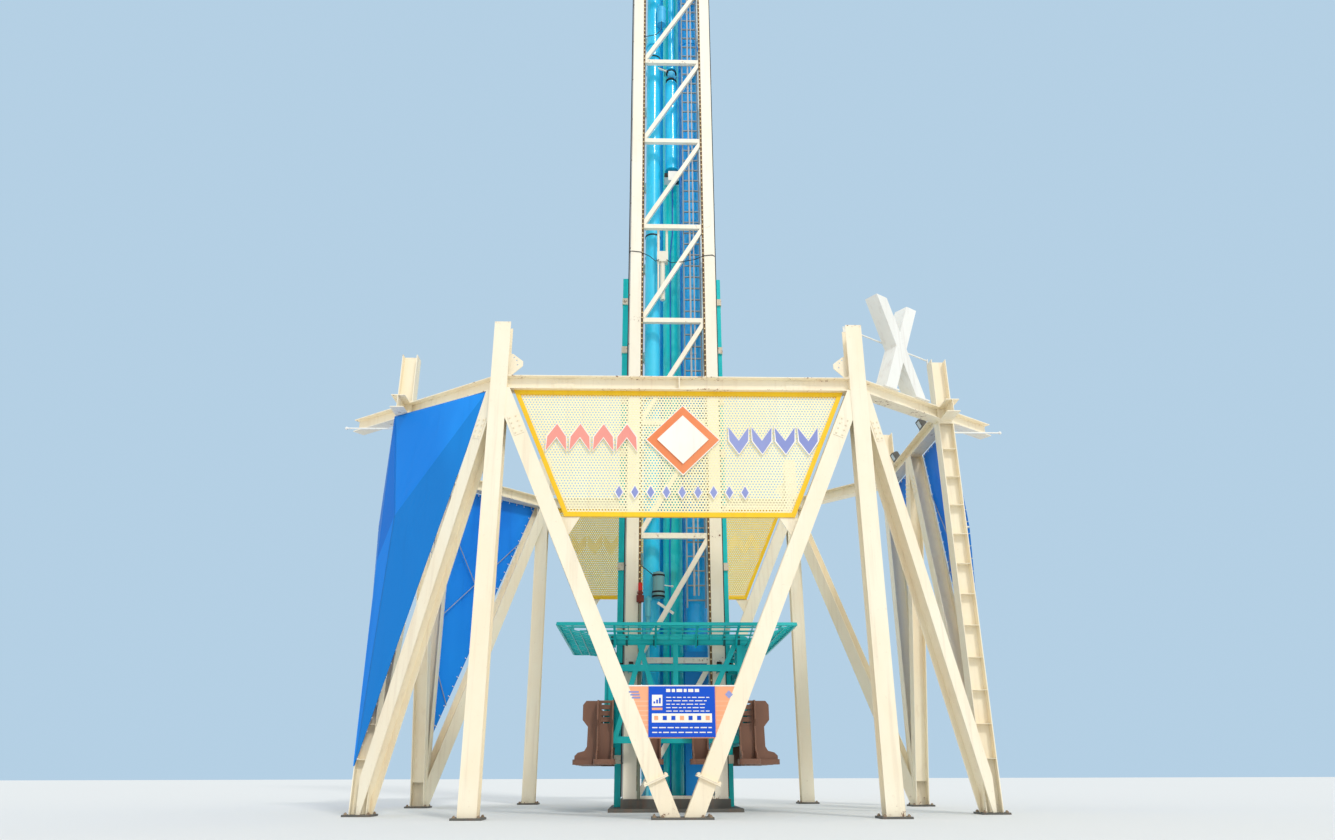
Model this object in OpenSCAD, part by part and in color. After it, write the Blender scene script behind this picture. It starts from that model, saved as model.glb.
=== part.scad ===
// Drop tower ride at half size: a square lattice mast, a carriage of sixteen seats that slides
// up it, and an eight-post frame of rolled beams round its foot. Millimetres, +Z up.
// The origin is the centre of the mast at ground level, and the front faces -Y.

/* [Mast] */
// Outside width of the square mast
mast_w = 980; // [900:10:1060]
// Width of each square corner leg
mast_leg_w = 125; // [100:5:140]
// Wall of each corner leg
mast_leg_wall = 10; // [6:1:16]
// Height of one lattice bay
bay_h = 1250; // [1100:10:1300]
// Number of lattice bays
bay_count = 20; // [19:1:22]
// Depth of the horizontal lattice bars
mast_rail_h = 55; // [40:1:70]
// Width of the diagonal lattice bars
mast_diag_w = 50; // [40:1:65]
// Thickness of the lattice bars through each face
mast_bar_t = 50; // [35:1:60]
// Set-back of the lattice from the outside of the legs
mast_bar_inset = 15; // [5:1:25]

/* [Mast base and head] */
// Width of the square base plate
base_plate_w = 1240; // [1180:10:1400]
// Thickness of the base plate
base_plate_t = 30; // [20:1:40]
// Height of the mast's foot above the ground
base_h = 110; // [90:5:160]
// Radius of the anchor bolt holes
anchor_r = 18; // [12:1:24]
// Distance of the anchor bolt holes from the plate's edge
anchor_edge = 50; // [40:1:60]
// Thickness of the head plate
head_plate_t = 25; // [15:1:40]
// Height of the head's edge beams
head_beam_h = 130; // [100:5:180]
// Width of the head's edge beams
head_beam_w = 90; // [60:5:110]

/* [Air cylinders in the mast] */
// Radius of the two left air cylinders
left_cyl_r = 88; // [70:1:100]
// Radius of the two right air cylinders
right_cyl_r = 112; // [90:1:116]
// Distance of the air cylinders from the mast's centre lines
cyl_off = 232; // [225:1:240]
// Radius of the column between the air cylinders
column_r = 105; // [90:1:110]
// Radius of the upper air tank
tank_r = 84; // [70:1:90]
// Distance of the air tank in front of the centre
tank_y = 205; // [200:1:215]
// Height of the air tank's lower end
tank_z = 7350; // [7000:10:7600]
// Length of the air tank
tank_len = 1350; // [1200:10:1500]
// Radius of the pipe above the tank
pipe_r = 38; // [25:1:45]

/* [Ladder] */
// Outside width of the ladder
ladder_w = 205; // [180:5:215]
// Distance of the ladder's middle from the mast's centre
ladder_x = 225; // [215:1:245]
// Height of the ladder's lower end
ladder_z = 1880; // [1600:10:2100]
// Distance between rungs
rung_pitch = 150; // [130:5:160]
// Height of a rung
rung_h = 13; // [10:1:18]
// Width of a ladder rail
ladder_rail_w = 16; // [12:1:20]
// Depth of the ladder from front to back
ladder_d = 20; // [14:1:30]
// Distance of the ladder's upper end below the mast's top
ladder_drop = 20; // [10:5:100]

/* [Cabinet] */
// Distance of the cabinet from the centre line
cabinet_x = 100; // [90:5:110]
// Width of the cabinet
cabinet_w = 220; // [180:5:240]
// Depth of the cabinet
cabinet_d = 76; // [60:1:78]
// Height of the cabinet's top
cabinet_top = 1450; // [1300:10:1550]

/* [Guide tubes beside the mast] */
// Width of each square guide tube
guide_w = 65; // [55:1:68]
// Gap between the mast and a guide tube
guide_gap = 30; // [25:1:32]
// Height of the upper end of the guide tubes
guide_top = 5900; // [5600:10:6200]
// Distance between the clamps
clamp_pitch = 640; // [600:5:700]
// Height of the lowest clamp
clamp_z = 460; // [400:10:520]
// Height of a clamp
clamp_h = 80; // [60:5:90]
// Width of a clamp along the mast's side
clamp_w = 110; // [90:5:130]
// Metal of a clamp beyond the guide tube
clamp_wall = 6; // [4:1:8]
// Wall of the guide tubes
guide_wall = 6; // [4:1:8]
// Width of the rails that carry the clamps
clamp_rail_w = 70; // [60:2:90]
// Distance by which the clamps' rails stand out beyond the mast's legs
clamp_rail_out = 9; // [4:1:14]

/* [Outer frame] */
// Distance of the front and back posts from the centre line
end_post_x = 1640; // [1600:5:1700]
// Distance of the front and back posts from the mast's middle
end_post_y = 1950; // [1900:5:2000]
// Distance of the side posts from the centre line
side_post_x = 2675; // [2620:5:2720]
// Distance of the forward side posts from the mast's middle
side_front_y = 1220; // [1180:5:1260]
// Distance of the rear side posts from the mast's middle
side_back_y = 880; // [840:5:920]
// Height of the tops of the posts
post_h = 4250; // [4100:10:4400]
// Width and depth of the posts
post_w = 150; // [140:1:156]
// Width of the ring beams
ring_w = 130; // [120:1:136]
// Height of the middle of the ring beams
ring_z = 3645; // [3600:5:3700]
// Width and depth of the braces
brace_w = 140; // [130:1:144]
// Thickness of the beams' flanges
flange_t = 8; // [6:1:12]
// Thickness of the beams' webs
web_t = 6; // [5:1:10]
// Thickness of the foot plates
foot_t = 16; // [12:1:20]
// Width of the foot plates
foot_w = 240; // [200:5:280]
// Length of the corner beams beyond the forward side posts
stub_len = 700; // [600:10:800]
// Length of the side beams beyond the forward side posts
side_stub_len = 250; // [200:10:300]
// Distance of the middle of each front brace's foot from the centre line
vee_foot_x = 85; // [82:1:95]
// Thickness of bracket plates, stiffeners and cleats
plate_t = 8; // [5:1:12]
// Distance between the stiffeners in the forward side posts
stiffener_pitch = 284; // [240:2:320]
// Height of the highest stiffener
stiffener_top = 3282; // [3200:2:3400]
// Radius of the thin rods on the frame
rod_r = 8; // [5:1:12]
// Length of the rods beyond the side posts
rod_len = 480; // [400:10:560]
// Height of the rods beyond the side posts
rod_z = 3480; // [3420:5:3520]
// Height of the tie rod above the posts
tie_lift = 42; // [25:1:60]

/* [Signs] */
// Height of the sign's lower edge
sign_z = 2395; // [2300:5:2500]
// Width of the sign's frame bars
sign_bar = 40; // [30:1:50]
// Depth of the sign's frame
sign_d = 36; // [26:1:50]
// Gap between the sign and the braces beside it
sign_gap = 30; // [20:1:40]
// Thickness of the sign's sheet
sheet_t = 6; // [4:1:8]
// Height of the notice board's lower edge
board_z = 585; // [520:5:640]
// Height of the notice board
board_h = 400; // [340:5:440]
// Thickness of the notice board
board_t = 20; // [14:1:26]
// Width of the panel on the notice board
panel_w = 530; // [450:5:560]
// Thickness of the panel on the notice board
panel_t = 8; // [5:1:12]

/* [Tent panels] */
// Thickness of the stretched membrane
skin_t = 4; // [3:1:6]
// Distance by which the struts push the membrane out
skin_push = 70; // [50:5:100]
// Height of the membrane's struts
skin_strut_z = 2530; // [2300:10:2700]
// Radius of the struts
strut_r = 12; // [8:1:16]
// Gap between the membrane and what it is laced to
skin_gap = 0.4; // [0.2:0.1:0.8]

/* [Carriage] */
// Running gap between the clamps of the guide tubes and the carriage's upper tube ring
carriage_gap = 18.5; // [8:0.5:30]
// Radius of the upper tube ring
ring_tube_r = 44; // [36:1:50]
// Height of the middle of the upper tube ring
ring_tube_z = 1524; // [1500:2:1550]
// Height of the middle of the carriage's middle beams
mid_beam_z = 1267; // [1240:1:1290]
// Height of the middle of the carriage's seat beams
seat_beam_z = 620; // [580:5:660]
// Width of the carriage's flat bars
bar_w = 60; // [45:1:64]
// Thickness of the carriage's flat bars
bar_t = 40; // [30:1:50]
// Width of the carriage's uprights and diagonals
upright_w = 48; // [36:1:60]
// Distance of the end uprights from the middle of a side
upright_x = 614; // [560:2:630]
// Distance of the crossing of the two left diagonals from the middle of a side
cross_x = 327; // [280:1:360]
// Height of the crossing of the two left diagonals
cross_z = 1425; // [1380:5:1450]
// Sideways reach of each crossing diagonal for each unit of height
cross_slope = 0.305; // [0.26:0.005:0.34]
// Distance of the right diagonal's foot from the middle of a side
brace_foot_x = 155; // [80:5:220]

/* [Canopy] */
// Gap between the tube ring and the canopy's panels
canopy_start = 6; // [4:0.5:12]
// Reach of the canopy's panels
canopy_reach = 408.5; // [380:0.5:440]
// Rise of the canopy's outer rim above the tube ring
canopy_rise = 91; // [60:1:130]
// Thickness of the canopy's grid bars
canopy_t = 14; // [10:1:18]
// Width of the canopy's thin bars
canopy_thin = 9; // [6:1:12]
// Width of the canopy's rim and thick bars
canopy_thick = 22; // [16:1:28]
// Distance between the canopy's bars
canopy_pitch = 129; // [110:1:145]
// Number of lengthwise bars in the canopy
canopy_rows = 4; // [3:1:5]
// Gap between neighbouring canopy panels, and between their lugs and the tube ring
canopy_gap = 0.3; // [0.2:0.1:1]
// Height of the lugs that carry the canopy below the middle of the tube ring
lug_h = 70; // [50:2:90]
// Reach of the lugs under the canopy
lug_reach = 150; // [100:5:200]
// Thickness of the lugs
lug_t = 16; // [10:1:20]

/* [Guide wheels] */
// Radius of the guide wheels
wheel_r = 50; // [44:1:56]
// Width of the guide wheels
wheel_w = 44; // [36:1:60]
// Height of the guide wheels
wheel_z = 1290; // [1270:5:1300]
// Running gap between the guide wheels and the mast's legs
wheel_gap = 0.4; // [0.3:0.1:0.8]
// Radius of the wheels' axles
axle_r = 9; // [6:1:12]
// Thickness of the cheeks beside the wheels
cheek_t = 8; // [5:1:10]
// Height of the wheel brackets
cheek_h = 75; // [60:1:80]

/* [Seats] */
// Distance between seats on one side
seat_pitch = 436; // [420:1:437]
// Distance of the seat backs in front of the carriage's bars
seat_set = 61.5; // [50:0.5:80]
// Width of the seat pans
pan_w = 195; // [170:1:200]
// Depth of the seat pans
pan_d = 215; // [190:1:230]
// Thickness of the seat pans
pan_t = 45; // [30:1:55]
// Radius of the seat pans' corners
pan_r = 40; // [34:1:60]
// Radius of the hollow in the seat pans
pan_hollow_r = 330; // [280:5:400]
// Height of the seat pans
seat_pan_z = 450; // [430:5:480]
// Width of the seat shells
shell_w = 150; // [130:1:152]
// Thickness of the seat shells' sides
shell_wall = 14; // [10:1:18]
// Thickness of the seat backs
back_t = 34; // [24:1:40]
// Depth of the seat shells' ears beside the head
ear_d = 132; // [110:1:150]
// Height of the seat shells above the pan
shell_h = 512; // [490:2:530]
// Height of the shells' ears beside the head
ear_h = 170; // [140:5:190]
// Depth of the shells' sides at the waist
waist_d = 86; // [70:1:100]
// Height of the shells' sides beside the pan
hip_h = 58; // [45:1:70]
// Depth of the hollow in the seat pans
pan_hollow = 12; // [6:1:18]
// Edge that the hollow leaves at the front of the seat pans
pan_edge = 16; // [10:1:24]
// Width of the arms that carry the seats
seat_arm_w = 30; // [24:1:34]
// Seam between the pieces that a seat is bolted up from
seat_seam = 0.3; // [0.2:0.1:0.5]
// Width of the slots in the seat backs
slot_w = 78; // [60:2:84]
// Height of the slots in the seat backs
slot_h = 14; // [10:1:18]
// Distance of the highest slot below the shell's top
slot_drop = 30; // [24:2:40]
// Distance between the slots in the seat backs
slot_pitch = 55; // [45:1:65]
// Number of slots in a seat back
slot_count = 4; // [2:1:5]

/* [Small fittings] */
// Radius of the canisters in the mast
canister_r = 60; // [50:1:61]
// Height of the lower canister's bottom
canister_z = 1988; // [1950:2:2050]
// Height of the upper canister's bottom
upper_canister_z = 9601; // [9550:1:9650]
// Width of the junction box
junction_w = 129; // [110:1:140]
// Distance of the junction box from the centre line
junction_x = 118; // [105:1:125]
// Height of the junction box's bottom
junction_z = 5914; // [5880:2:5950]
// Distance of the hydrant valve from the centre line
hydrant_x = 345; // [335:1:355]
// Height of the hydrant valve's bottom
hydrant_z = 1917; // [1880:1:1960]
// Width of the floodlights
flood_w = 100; // [80:2:120]
// Height of the floodlights
flood_h = 90; // [70:2:110]

/* [Hidden] */
sides = [-1, 1];
far = 3000;

cream = "#f5ead2";
teal = "#12929b";
sky_blue = "#6fd3f2";
mast_half = mast_w / 2;
leg_in = mast_half - mast_leg_w;
mast_top = base_h + bay_count * bay_h + mast_rail_h / 2;
lattice_back = mast_half - mast_bar_inset - mast_bar_t;
ring_under = ring_z - ring_w / 2;
side_mid_y = (side_back_y - side_front_y) / 2;
vee_slope = (end_post_x - vee_foot_x) / ring_z;
vee_angle = atan(vee_slope);
vee_half = brace_w / 2 / cos(vee_angle);
guide_in = mast_half + guide_gap;
ring_tube_off = guide_in + guide_w + clamp_wall + carriage_gap + ring_tube_r;
ring_tube_w = 2 * (ring_tube_off + ring_tube_r);
seat_y = ring_tube_off + bar_t / 2 + seat_set;
shell_side_x = (shell_w - shell_wall) / 2;
shell_side_d = pan_d - 18;
// Edge of the tent panels beside and in front of the middle of their posts.
corner_near = post_w / 2 - 13;
corner_off = brace_w / 2 - 14;
side_near = post_w / 2 - 15;
side_off = post_w / 2 + skin_t + skin_gap;
strut_gap = 1.5;
canopy_in = ring_tube_w / 2 + canopy_start;
canopy_half = canopy_in + canopy_reach;
canopy_len = norm([canopy_reach, canopy_rise]);
canopy_angle = atan(canopy_rise / canopy_reach);
tank_top = tank_z + tank_len;
valve_h = 280;
pipe_z = tank_top + valve_h;
flood_at = [-676, 383];

// The posts, as [x, y] of their centres.
end_post_at = [for (sx = sides, sy = sides) [sx * end_post_x, sy * end_post_y]];
side_post_at = [for (sx = sides, y = [-side_front_y, side_back_y]) [sx * side_post_x, y]];

// Flat ring of a square tube.
module tube_section(w, wall) {
    difference() {
        square(w, center = true);
        square(w - 2 * wall, center = true);
    }
}

// Rolled beam section with its flanges across Y.
module beam_section(w) {
    for (s = sides)
        translate([0, s * (w - flange_t) / 2])
            square([w, flange_t], center = true);
    square([web_t, w - flange_t], center = true);
}

// Puts its children on all four sides of the mast.
module four_sides() {
    for (a = [0, 90, 180, 270])
        rotate(a)
            children();
}

module box_at(low, high) {
    translate(low)
        cube(high - low);
}

// The space of every post, used to seat what meets the posts.
module post_space() {
    for (p = concat(end_post_at, side_post_at))
        translate([p[0], p[1], post_h / 2])
            cube([post_w, post_w, post_h], center = true);
}

// Mast

module mast_base() {
    color("dimgray")
        difference() {
            union() {
                translate([0, 0, base_plate_t / 2])
                    cube([base_plate_w, base_plate_w, base_plate_t], center = true);
                translate([0, 0, base_h / 2])
                    cube([mast_w + 40, mast_w + 40, base_h], center = true);
            }
            for (sx = sides, sy = sides)
                translate([sx, sy, 0] * (base_plate_w / 2 - anchor_edge) + [0, 0, -1])
                    cylinder(r = anchor_r, h = base_plate_t + 2, $fn = 32);
        }
}

module mast_legs() {
    color(cream)
        for (sx = sides, sy = sides)
            translate([sx, sy, 0] * (mast_half - mast_leg_w / 2) + [0, 0, base_h])
                linear_extrude(mast_top - base_h)
                    tube_section(mast_leg_w, mast_leg_wall);
}

// One flat lattice between two legs, drawn as X and Z.
module lattice_outline() {
    for (n = [0 : bay_count])
        translate([0, base_h + n * bay_h + (n == 0 ? mast_rail_h / 4 : 0)])
            square([2 * leg_in, n == 0 ? mast_rail_h / 2 : mast_rail_h], center = true);
    for (n = [0 : bay_count - 1])
        intersection() {
            translate([0, base_h + (n + 0.5) * bay_h])
                rotate(atan2(bay_h, 2 * leg_in))
                    square([2 * bay_h, mast_diag_w], center = true);
            translate([0, base_h + (n + 0.5) * bay_h])
                square([2 * leg_in, bay_h], center = true);
        }
}

module lattice(angle) {
    color(cream)
        rotate(angle)
            translate([0, -lattice_back, 0])
                rotate([90, 0, 0])
                    linear_extrude(mast_bar_t)
                        lattice_outline();
}

module mast_head() {
    w = mast_w + 60;
    color(cream) {
        translate([0, 0, mast_top + head_plate_t / 2])
            cube([w, w, head_plate_t], center = true);
        translate([0, 0, mast_top + head_plate_t])
            linear_extrude(head_beam_h)
                tube_section(w, head_beam_w);
    }
}

// A pipe that stands on the mast's foot and ends under the head plate, with flanged joints.
module air_cylinder(r) {
    translate([0, 0, base_h])
        cylinder(r = r, h = mast_top - base_h, $fn = 48);
    for (n = [3 : 4 : bay_count - 1])
        translate([0, 0, base_h + (n + 0.35) * bay_h])
            cylinder(r = r + 14, h = 36, $fn = 48);
}

module left_air_cylinders() {
    color(sky_blue)
        for (sy = sides)
            translate([-cyl_off, sy * cyl_off, 0])
                air_cylinder(left_cyl_r);
}

module right_air_cylinders() {
    color(sky_blue)
        for (sy = sides)
            translate([cyl_off, sy * cyl_off, 0])
                air_cylinder(right_cyl_r);
}

module centre_column() {
    color(teal)
        translate([0, 0, base_h])
            cylinder(r = column_r, h = mast_top - base_h, $fn = 48);
}

// Short tank in front of the column, on two cradles that seat on both, with a valve on top.
module upper_air_tank() {
    neck_r = tank_r * 0.45;
    flange_r = tank_r * 0.75;
    flange_h = 24;
    cradle_w = 90;
    cradle_h = 60;
    color(sky_blue) {
        translate([0, -tank_y, tank_z])
            cylinder(r = tank_r, h = tank_len, $fn = 48);
        translate([0, -tank_y, tank_top]) {
            cylinder(r = neck_r, h = valve_h, $fn = 32);
            for (z = [flange_h, valve_h - 1.5 * flange_h])
                translate([0, 0, z])
                    cylinder(r = flange_r, h = flange_h, $fn = 32);
            translate([0, 0, valve_h / 2])
                sphere(r = neck_r * 1.35, $fn = 32);
            translate([0, 0, valve_h / 2])
                rotate([90, 0, 0])
                    cylinder(r = neck_r * 0.7, h = flange_r, $fn = 24);
        }
        difference() {
            for (f = [0.2, 0.8])
                box_at([-cradle_w / 2, -tank_y, tank_z + f * tank_len],
                       [cradle_w / 2, -column_r / 2, tank_z + f * tank_len + cradle_h]);
            translate([0, 0, base_h])
                cylinder(r = column_r, h = mast_top - base_h, $fn = 48);
        }
    }
}

module upper_pipe() {
    pipe_flange_h = 30;
    color(sky_blue)
        translate([0, -tank_y, pipe_z]) {
            for (n = [0, 4, 8])
                translate([0, 0, n * bay_h])
                    cylinder(r = pipe_r * 1.7, h = pipe_flange_h, $fn = 32);
            cylinder(r = pipe_r, h = mast_top - pipe_z, $fn = 32);
        }
}

module ladder() {
    top = mast_top - ladder_drop;
    rungs = floor((top - ladder_z - rung_pitch / 2) / rung_pitch);
    color("silver")
        translate([ladder_x, -lattice_back + ladder_d, 0])
            rotate([90, 0, 0])
                linear_extrude(ladder_d) {
                    for (s = sides)
                        translate([s * (ladder_w - ladder_rail_w) / 2, (ladder_z + top) / 2])
                            square([ladder_rail_w, top - ladder_z], center = true);
                    for (n = [0 : rungs])
                        translate([0, ladder_z + rung_pitch * (n + 0.5)])
                            square([ladder_w - ladder_rail_w, rung_h], center = true);
                }
}

module control_cabinet() {
    color("#155a86")
        box_at([cabinet_x, -lattice_back, base_h],
               [cabinet_x + cabinet_w, -lattice_back + cabinet_d, cabinet_top]);
}

// Guide tubes up both sides of the mast, with the rails that clamp them to it.
clamp_count = floor((guide_top - clamp_z) / clamp_pitch) + 1;

module guide_tubes() {
    color(teal)
        for (s = sides)
            translate([s * (guide_in + guide_w / 2), 0, base_plate_t])
                linear_extrude(guide_top - base_plate_t)
                    tube_section(guide_w, guide_wall);
}

module clamp_rail(s) {
    rail_mid = mast_half + (clamp_rail_out - mast_bar_inset) / 2;
    reach = guide_gap + guide_w + clamp_wall;
    color(cream)
        difference() {
            union() {
                translate([s * rail_mid, 0, (base_h + guide_top) / 2])
                    cube([mast_bar_inset + clamp_rail_out, clamp_rail_w, guide_top - base_h],
                         center = true);
                for (n = [0 : clamp_count - 1])
                    translate([s * (mast_half + reach / 2), 0, clamp_z + n * clamp_pitch])
                        cube([reach, clamp_w, clamp_h], center = true);
            }
            translate([s * (guide_in + guide_w / 2), 0, guide_top / 2])
                cube([guide_w, guide_w, guide_top], center = true);
        }
}

// Outer frame

module post(at, turn) {
    translate([at[0], at[1], 0]) {
        translate([0, 0, foot_t])
            rotate(turn)
                linear_extrude(post_h - foot_t)
                    beam_section(post_w);
        for (s = sides)
            rotate(turn)
                translate([s * (post_w - flange_t) / 2, 0, ring_z])
                    cube([flange_t, post_w, ring_w + 60], center = true);
    }
}

// Bolted bracket plate above the ring beam, on the web of an end post, towards the sign.
module post_bracket() {
    hole_r = 7;
    out = post_w / 2;
    translate([0, plate_t / 2, ring_z + ring_w / 2])
        rotate([90, 0, 0])
            linear_extrude(plate_t)
                difference() {
                    polygon([[0, 0], [out, 0], [out + 125, 120], [out + 125, 165], [out + 30, 240],
                             [0, 240]]);
                    for (p = [[60, 205], [85, 175], [95, 130]])
                        translate([out + p[0] - 20, p[1]])
                            circle(r = hole_r, $fn = 24);
                }
}

module end_posts() {
    color(cream)
        for (p = end_post_at) {
            post(p, 0);
            translate([p[0], p[1], 0])
                mirror([p[0] > 0 ? 1 : 0, 0, 0])
                    post_bracket();
        }
}

module side_posts() {
    count = floor((stiffener_top - foot_w) / stiffener_pitch);
    color(cream) {
        for (p = side_post_at)
            post(p, 90);
        for (s = sides, n = [0 : count])
            translate([s * side_post_x - post_w / 2, -side_front_y - post_w / 2,
                       stiffener_top - n * stiffener_pitch])
                cube([post_w, post_w / 2, plate_t / 2]);
    }
}

module foot_plates() {
    color("dimgray") {
        for (p = concat(end_post_at, side_post_at))
            translate([p[0], p[1], foot_t / 2])
                cube([foot_w, foot_w, foot_t], center = true);
        for (s = sides)
            translate([0, s * end_post_y, foot_t / 2])
                cube([2 * foot_w, foot_w, foot_t], center = true);
    }
}

// A ring beam on its web, along X.
module ring_beam(length) {
    rotate([90, 0, 90])
        translate([0, 0, -length / 2])
            linear_extrude(length)
                beam_section(ring_w);
}

module end_ring_beam(s) {
    color(cream)
        translate([0, s * end_post_y, ring_z])
            ring_beam(2 * end_post_x - post_w);
}

module side_ring_beams() {
    front = side_front_y + post_w / 2 + side_stub_len;
    color(cream)
        difference() {
            for (s = sides)
                translate([s * side_post_x, (side_back_y - front) / 2, ring_z])
                    rotate(90)
                        ring_beam(side_back_y + front);
            post_space();
        }
}

// Vertical space of the side beams, for the corner beams that meet them.
module side_beam_space() {
    for (s = sides)
        translate([s * side_post_x, -side_front_y, ring_z])
            cube([ring_w, 2 * (side_stub_len + post_w), 2 * ring_w], center = true);
}

// Runs its children's X axis from an end post to a side post in plan.
module on_corner(from, to) {
    run = to - from;
    translate([from[0], from[1], 0])
        rotate(atan2(run[1], run[0]))
            children();
}

module corner_ring_beams() {
    front_len = norm([side_post_x - end_post_x, end_post_y - side_front_y]);
    back_len = norm([side_post_x - end_post_x, end_post_y - side_back_y]);
    color(cream)
        difference() {
            for (s = sides) {
                on_corner([s * end_post_x, -end_post_y], [s * side_post_x, -side_front_y])
                    translate([(front_len + stub_len) / 2, 0, ring_z])
                        ring_beam(front_len + stub_len);
                on_corner([s * end_post_x, end_post_y], [s * side_post_x, side_back_y])
                    translate([back_len / 2, 0, ring_z])
                        ring_beam(back_len);
            }
            post_space();
            side_beam_space();
        }
}

// A brace that leans along X from its foot, between the ground and the underside of the ring.
module leaning_brace(lean, low) {
    spare = 2 * brace_w;
    intersection() {
        rotate([0, lean, 0])
            translate([0, 0, -spare])
                linear_extrude(ring_z / cos(lean) + 2 * spare)
                    beam_section(brace_w);
        translate([-far, -far, low])
            cube([2 * far, 2 * far, ring_under - low]);
    }
}

// Gusset from a vee brace to the lower corner of the sign's frame.
module sign_gusset() {
    drop = 110;
    overlap = 60;
    corner = vee_edge(sign_z) - sign_gap;
    linear_extrude(plate_t)
        polygon([[corner - overlap, sign_z], [vee_edge(sign_z) + 5, sign_z],
                 [vee_edge(sign_z - drop) + 5, sign_z - drop]]);
}

module vee(s) {
    color(cream)
        difference() {
            for (sx = sides) {
                translate([sx * vee_foot_x, s * end_post_y, 0])
                    leaning_brace(sx * vee_angle, foot_t);
                translate([0, s * end_post_y + plate_t / 2, 0])
                    rotate([90, 0, 0])
                        mirror([sx < 0 ? 1 : 0, 0, 0])
                            sign_gusset();
            }
            post_space();
        }
}

module corner_braces() {
    color(cream)
        difference() {
            for (sx = sides, sy = sides) {
                foot = [sx * side_post_x, sy < 0 ? -side_front_y : side_back_y];
                head = [sx * end_post_x, sy * end_post_y];
                on_corner(foot, head)
                    intersection() {
                        leaning_brace(atan(norm(head - foot) / ring_z), foot_t);
                        translate([0, -brace_w, 0])
                            cube([norm(head - foot), 2 * brace_w, ring_z]);
                    }
            }
            post_space();
        }
}

module side_braces() {
    half_bay = (side_front_y + side_back_y) / 2;
    color(cream)
        difference() {
            for (sx = sides, sy = sides)
                intersection() {
                    translate([sx * side_post_x, side_mid_y + sy * half_bay, 0])
                        rotate(-sy * 90)
                            leaning_brace(atan(half_bay / ring_z), foot_t);
                    translate([sx * side_post_x, side_mid_y + sy * (half_bay / 2 + 1), ring_z / 2])
                        cube([2 * brace_w, half_bay, 2 * ring_z], center = true);
                }
            post_space();
        }
}

// Signs

function vee_edge(z) = vee_foot_x + vee_slope * z - vee_half;

module sign_outline(inset) {
    low = sign_z + inset;
    high = ring_under - inset;
    side = inset / cos(vee_angle);
    a = vee_edge(low) - sign_gap - side;
    b = vee_edge(high) - sign_gap - side;
    polygon([[-a, low], [a, low], [b, high], [-b, high]]);
}

module sign_frame(s) {
    color("#f2c53a")
        translate([0, s * end_post_y + sign_d / 2, 0])
            rotate([90, 0, 0])
                linear_extrude(sign_d)
                    difference() {
                        sign_outline(0);
                        sign_outline(sign_bar);
                    }
}

module sign_sheet(s) {
    color("#f0e2a4")
        translate([0, s * end_post_y + sheet_t / 2, 0])
            rotate([90, 0, 0])
                linear_extrude(sheet_t)
                    sign_outline(sign_bar);
}

module board_outline() {
    low = board_z;
    high = board_z + board_h;
    a = vee_edge(low);
    b = vee_edge(high);
    polygon([[-a, low], [a, low], [b, high], [-b, high]]);
}

module notice_board() {
    color("#f3a878")
        translate([0, -end_post_y - brace_w / 2 + board_t, 0])
            rotate([90, 0, 0])
                linear_extrude(board_t)
                    board_outline();
}

module notice_panel() {
    front = -end_post_y - brace_w / 2;
    color("#1a5ad8")
        box_at([-panel_w / 2, front - panel_t, board_z + 8],
               [panel_w / 2, front, board_z + board_h - 8]);
}

// Tent panels: each fills the triangle between a post, its brace and the ring beam, and a strut
// on the post pushes one edge out, so that the sheet folds along a crease to the far corner.

module skin(beam_end, post_top, post_foot, apex, out) {
    outer = [beam_end, post_top, post_foot, apex];
    inner = [for (p = outer) p - out * skin_t];
    facets = [[0, 1, 3], [0, 3, 2], [4, 7, 5], [4, 6, 7],
              [1, 0, 4, 5], [3, 1, 5, 7], [2, 3, 7, 6], [0, 2, 6, 4]];
    turned = cross(post_top - beam_end, apex - beam_end) * out < 0;
    polyhedron(outer_points(outer, inner), turned ? facets : [for (f = facets) reversed(f)]);
}

function outer_points(outer, inner) = concat(outer, inner);
function reversed(list) = [for (i = [len(list) - 1 : -1 : 0]) list[i]];

// Where a tent panel's pushed-out point lies, and the point on its post that the strut starts from.
function panel_point(post, along, out, near, off, z) =
    [post[0], post[1], z] + along * near + out * off;

module panel_skin(post, head, out, near, off) {
    along = (head - post) / norm(head - post);
    slope = norm(head - post) / ring_z;
    edge = brace_w / 2 / cos(atan(slope)) + skin_gap;
    top = ring_under - skin_gap;
    skin(panel_point(post, along, out, slope * top - edge, off, top),
         panel_point(post, along, out, near, off, top),
         panel_point(post, along, out, near, off, (near + edge) / slope),
         panel_point(post, along, out, near, off + skin_push, skin_strut_z),
         out);
}

function corner_along(sy) = let (run = corner_head(sy) - corner_post(sy)) run / norm(run);
function corner_post(sy) = [-side_post_x, sy < 0 ? -side_front_y : side_back_y, 0];
function corner_head(sy) = [-end_post_x, sy * end_post_y, 0];
function corner_out(sy) = let (a = corner_along(sy)) [-sy * a[1], sy * a[0], 0];
function side_post_y(sy) = sy < 0 ? -side_front_y : side_back_y;

module corner_membranes() {
    color("#1b8be0")
        for (sy = sides)
            panel_skin(corner_post(sy), corner_head(sy), corner_out(sy), corner_near, corner_off);
}

module side_membranes(sx) {
    color("#1b8be0")
        for (sy = sides)
            panel_skin([sx * side_post_x, side_post_y(sy), 0], [sx * side_post_x, side_mid_y, 0],
                       [sx, 0, 0], side_near, side_off);
}

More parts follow.
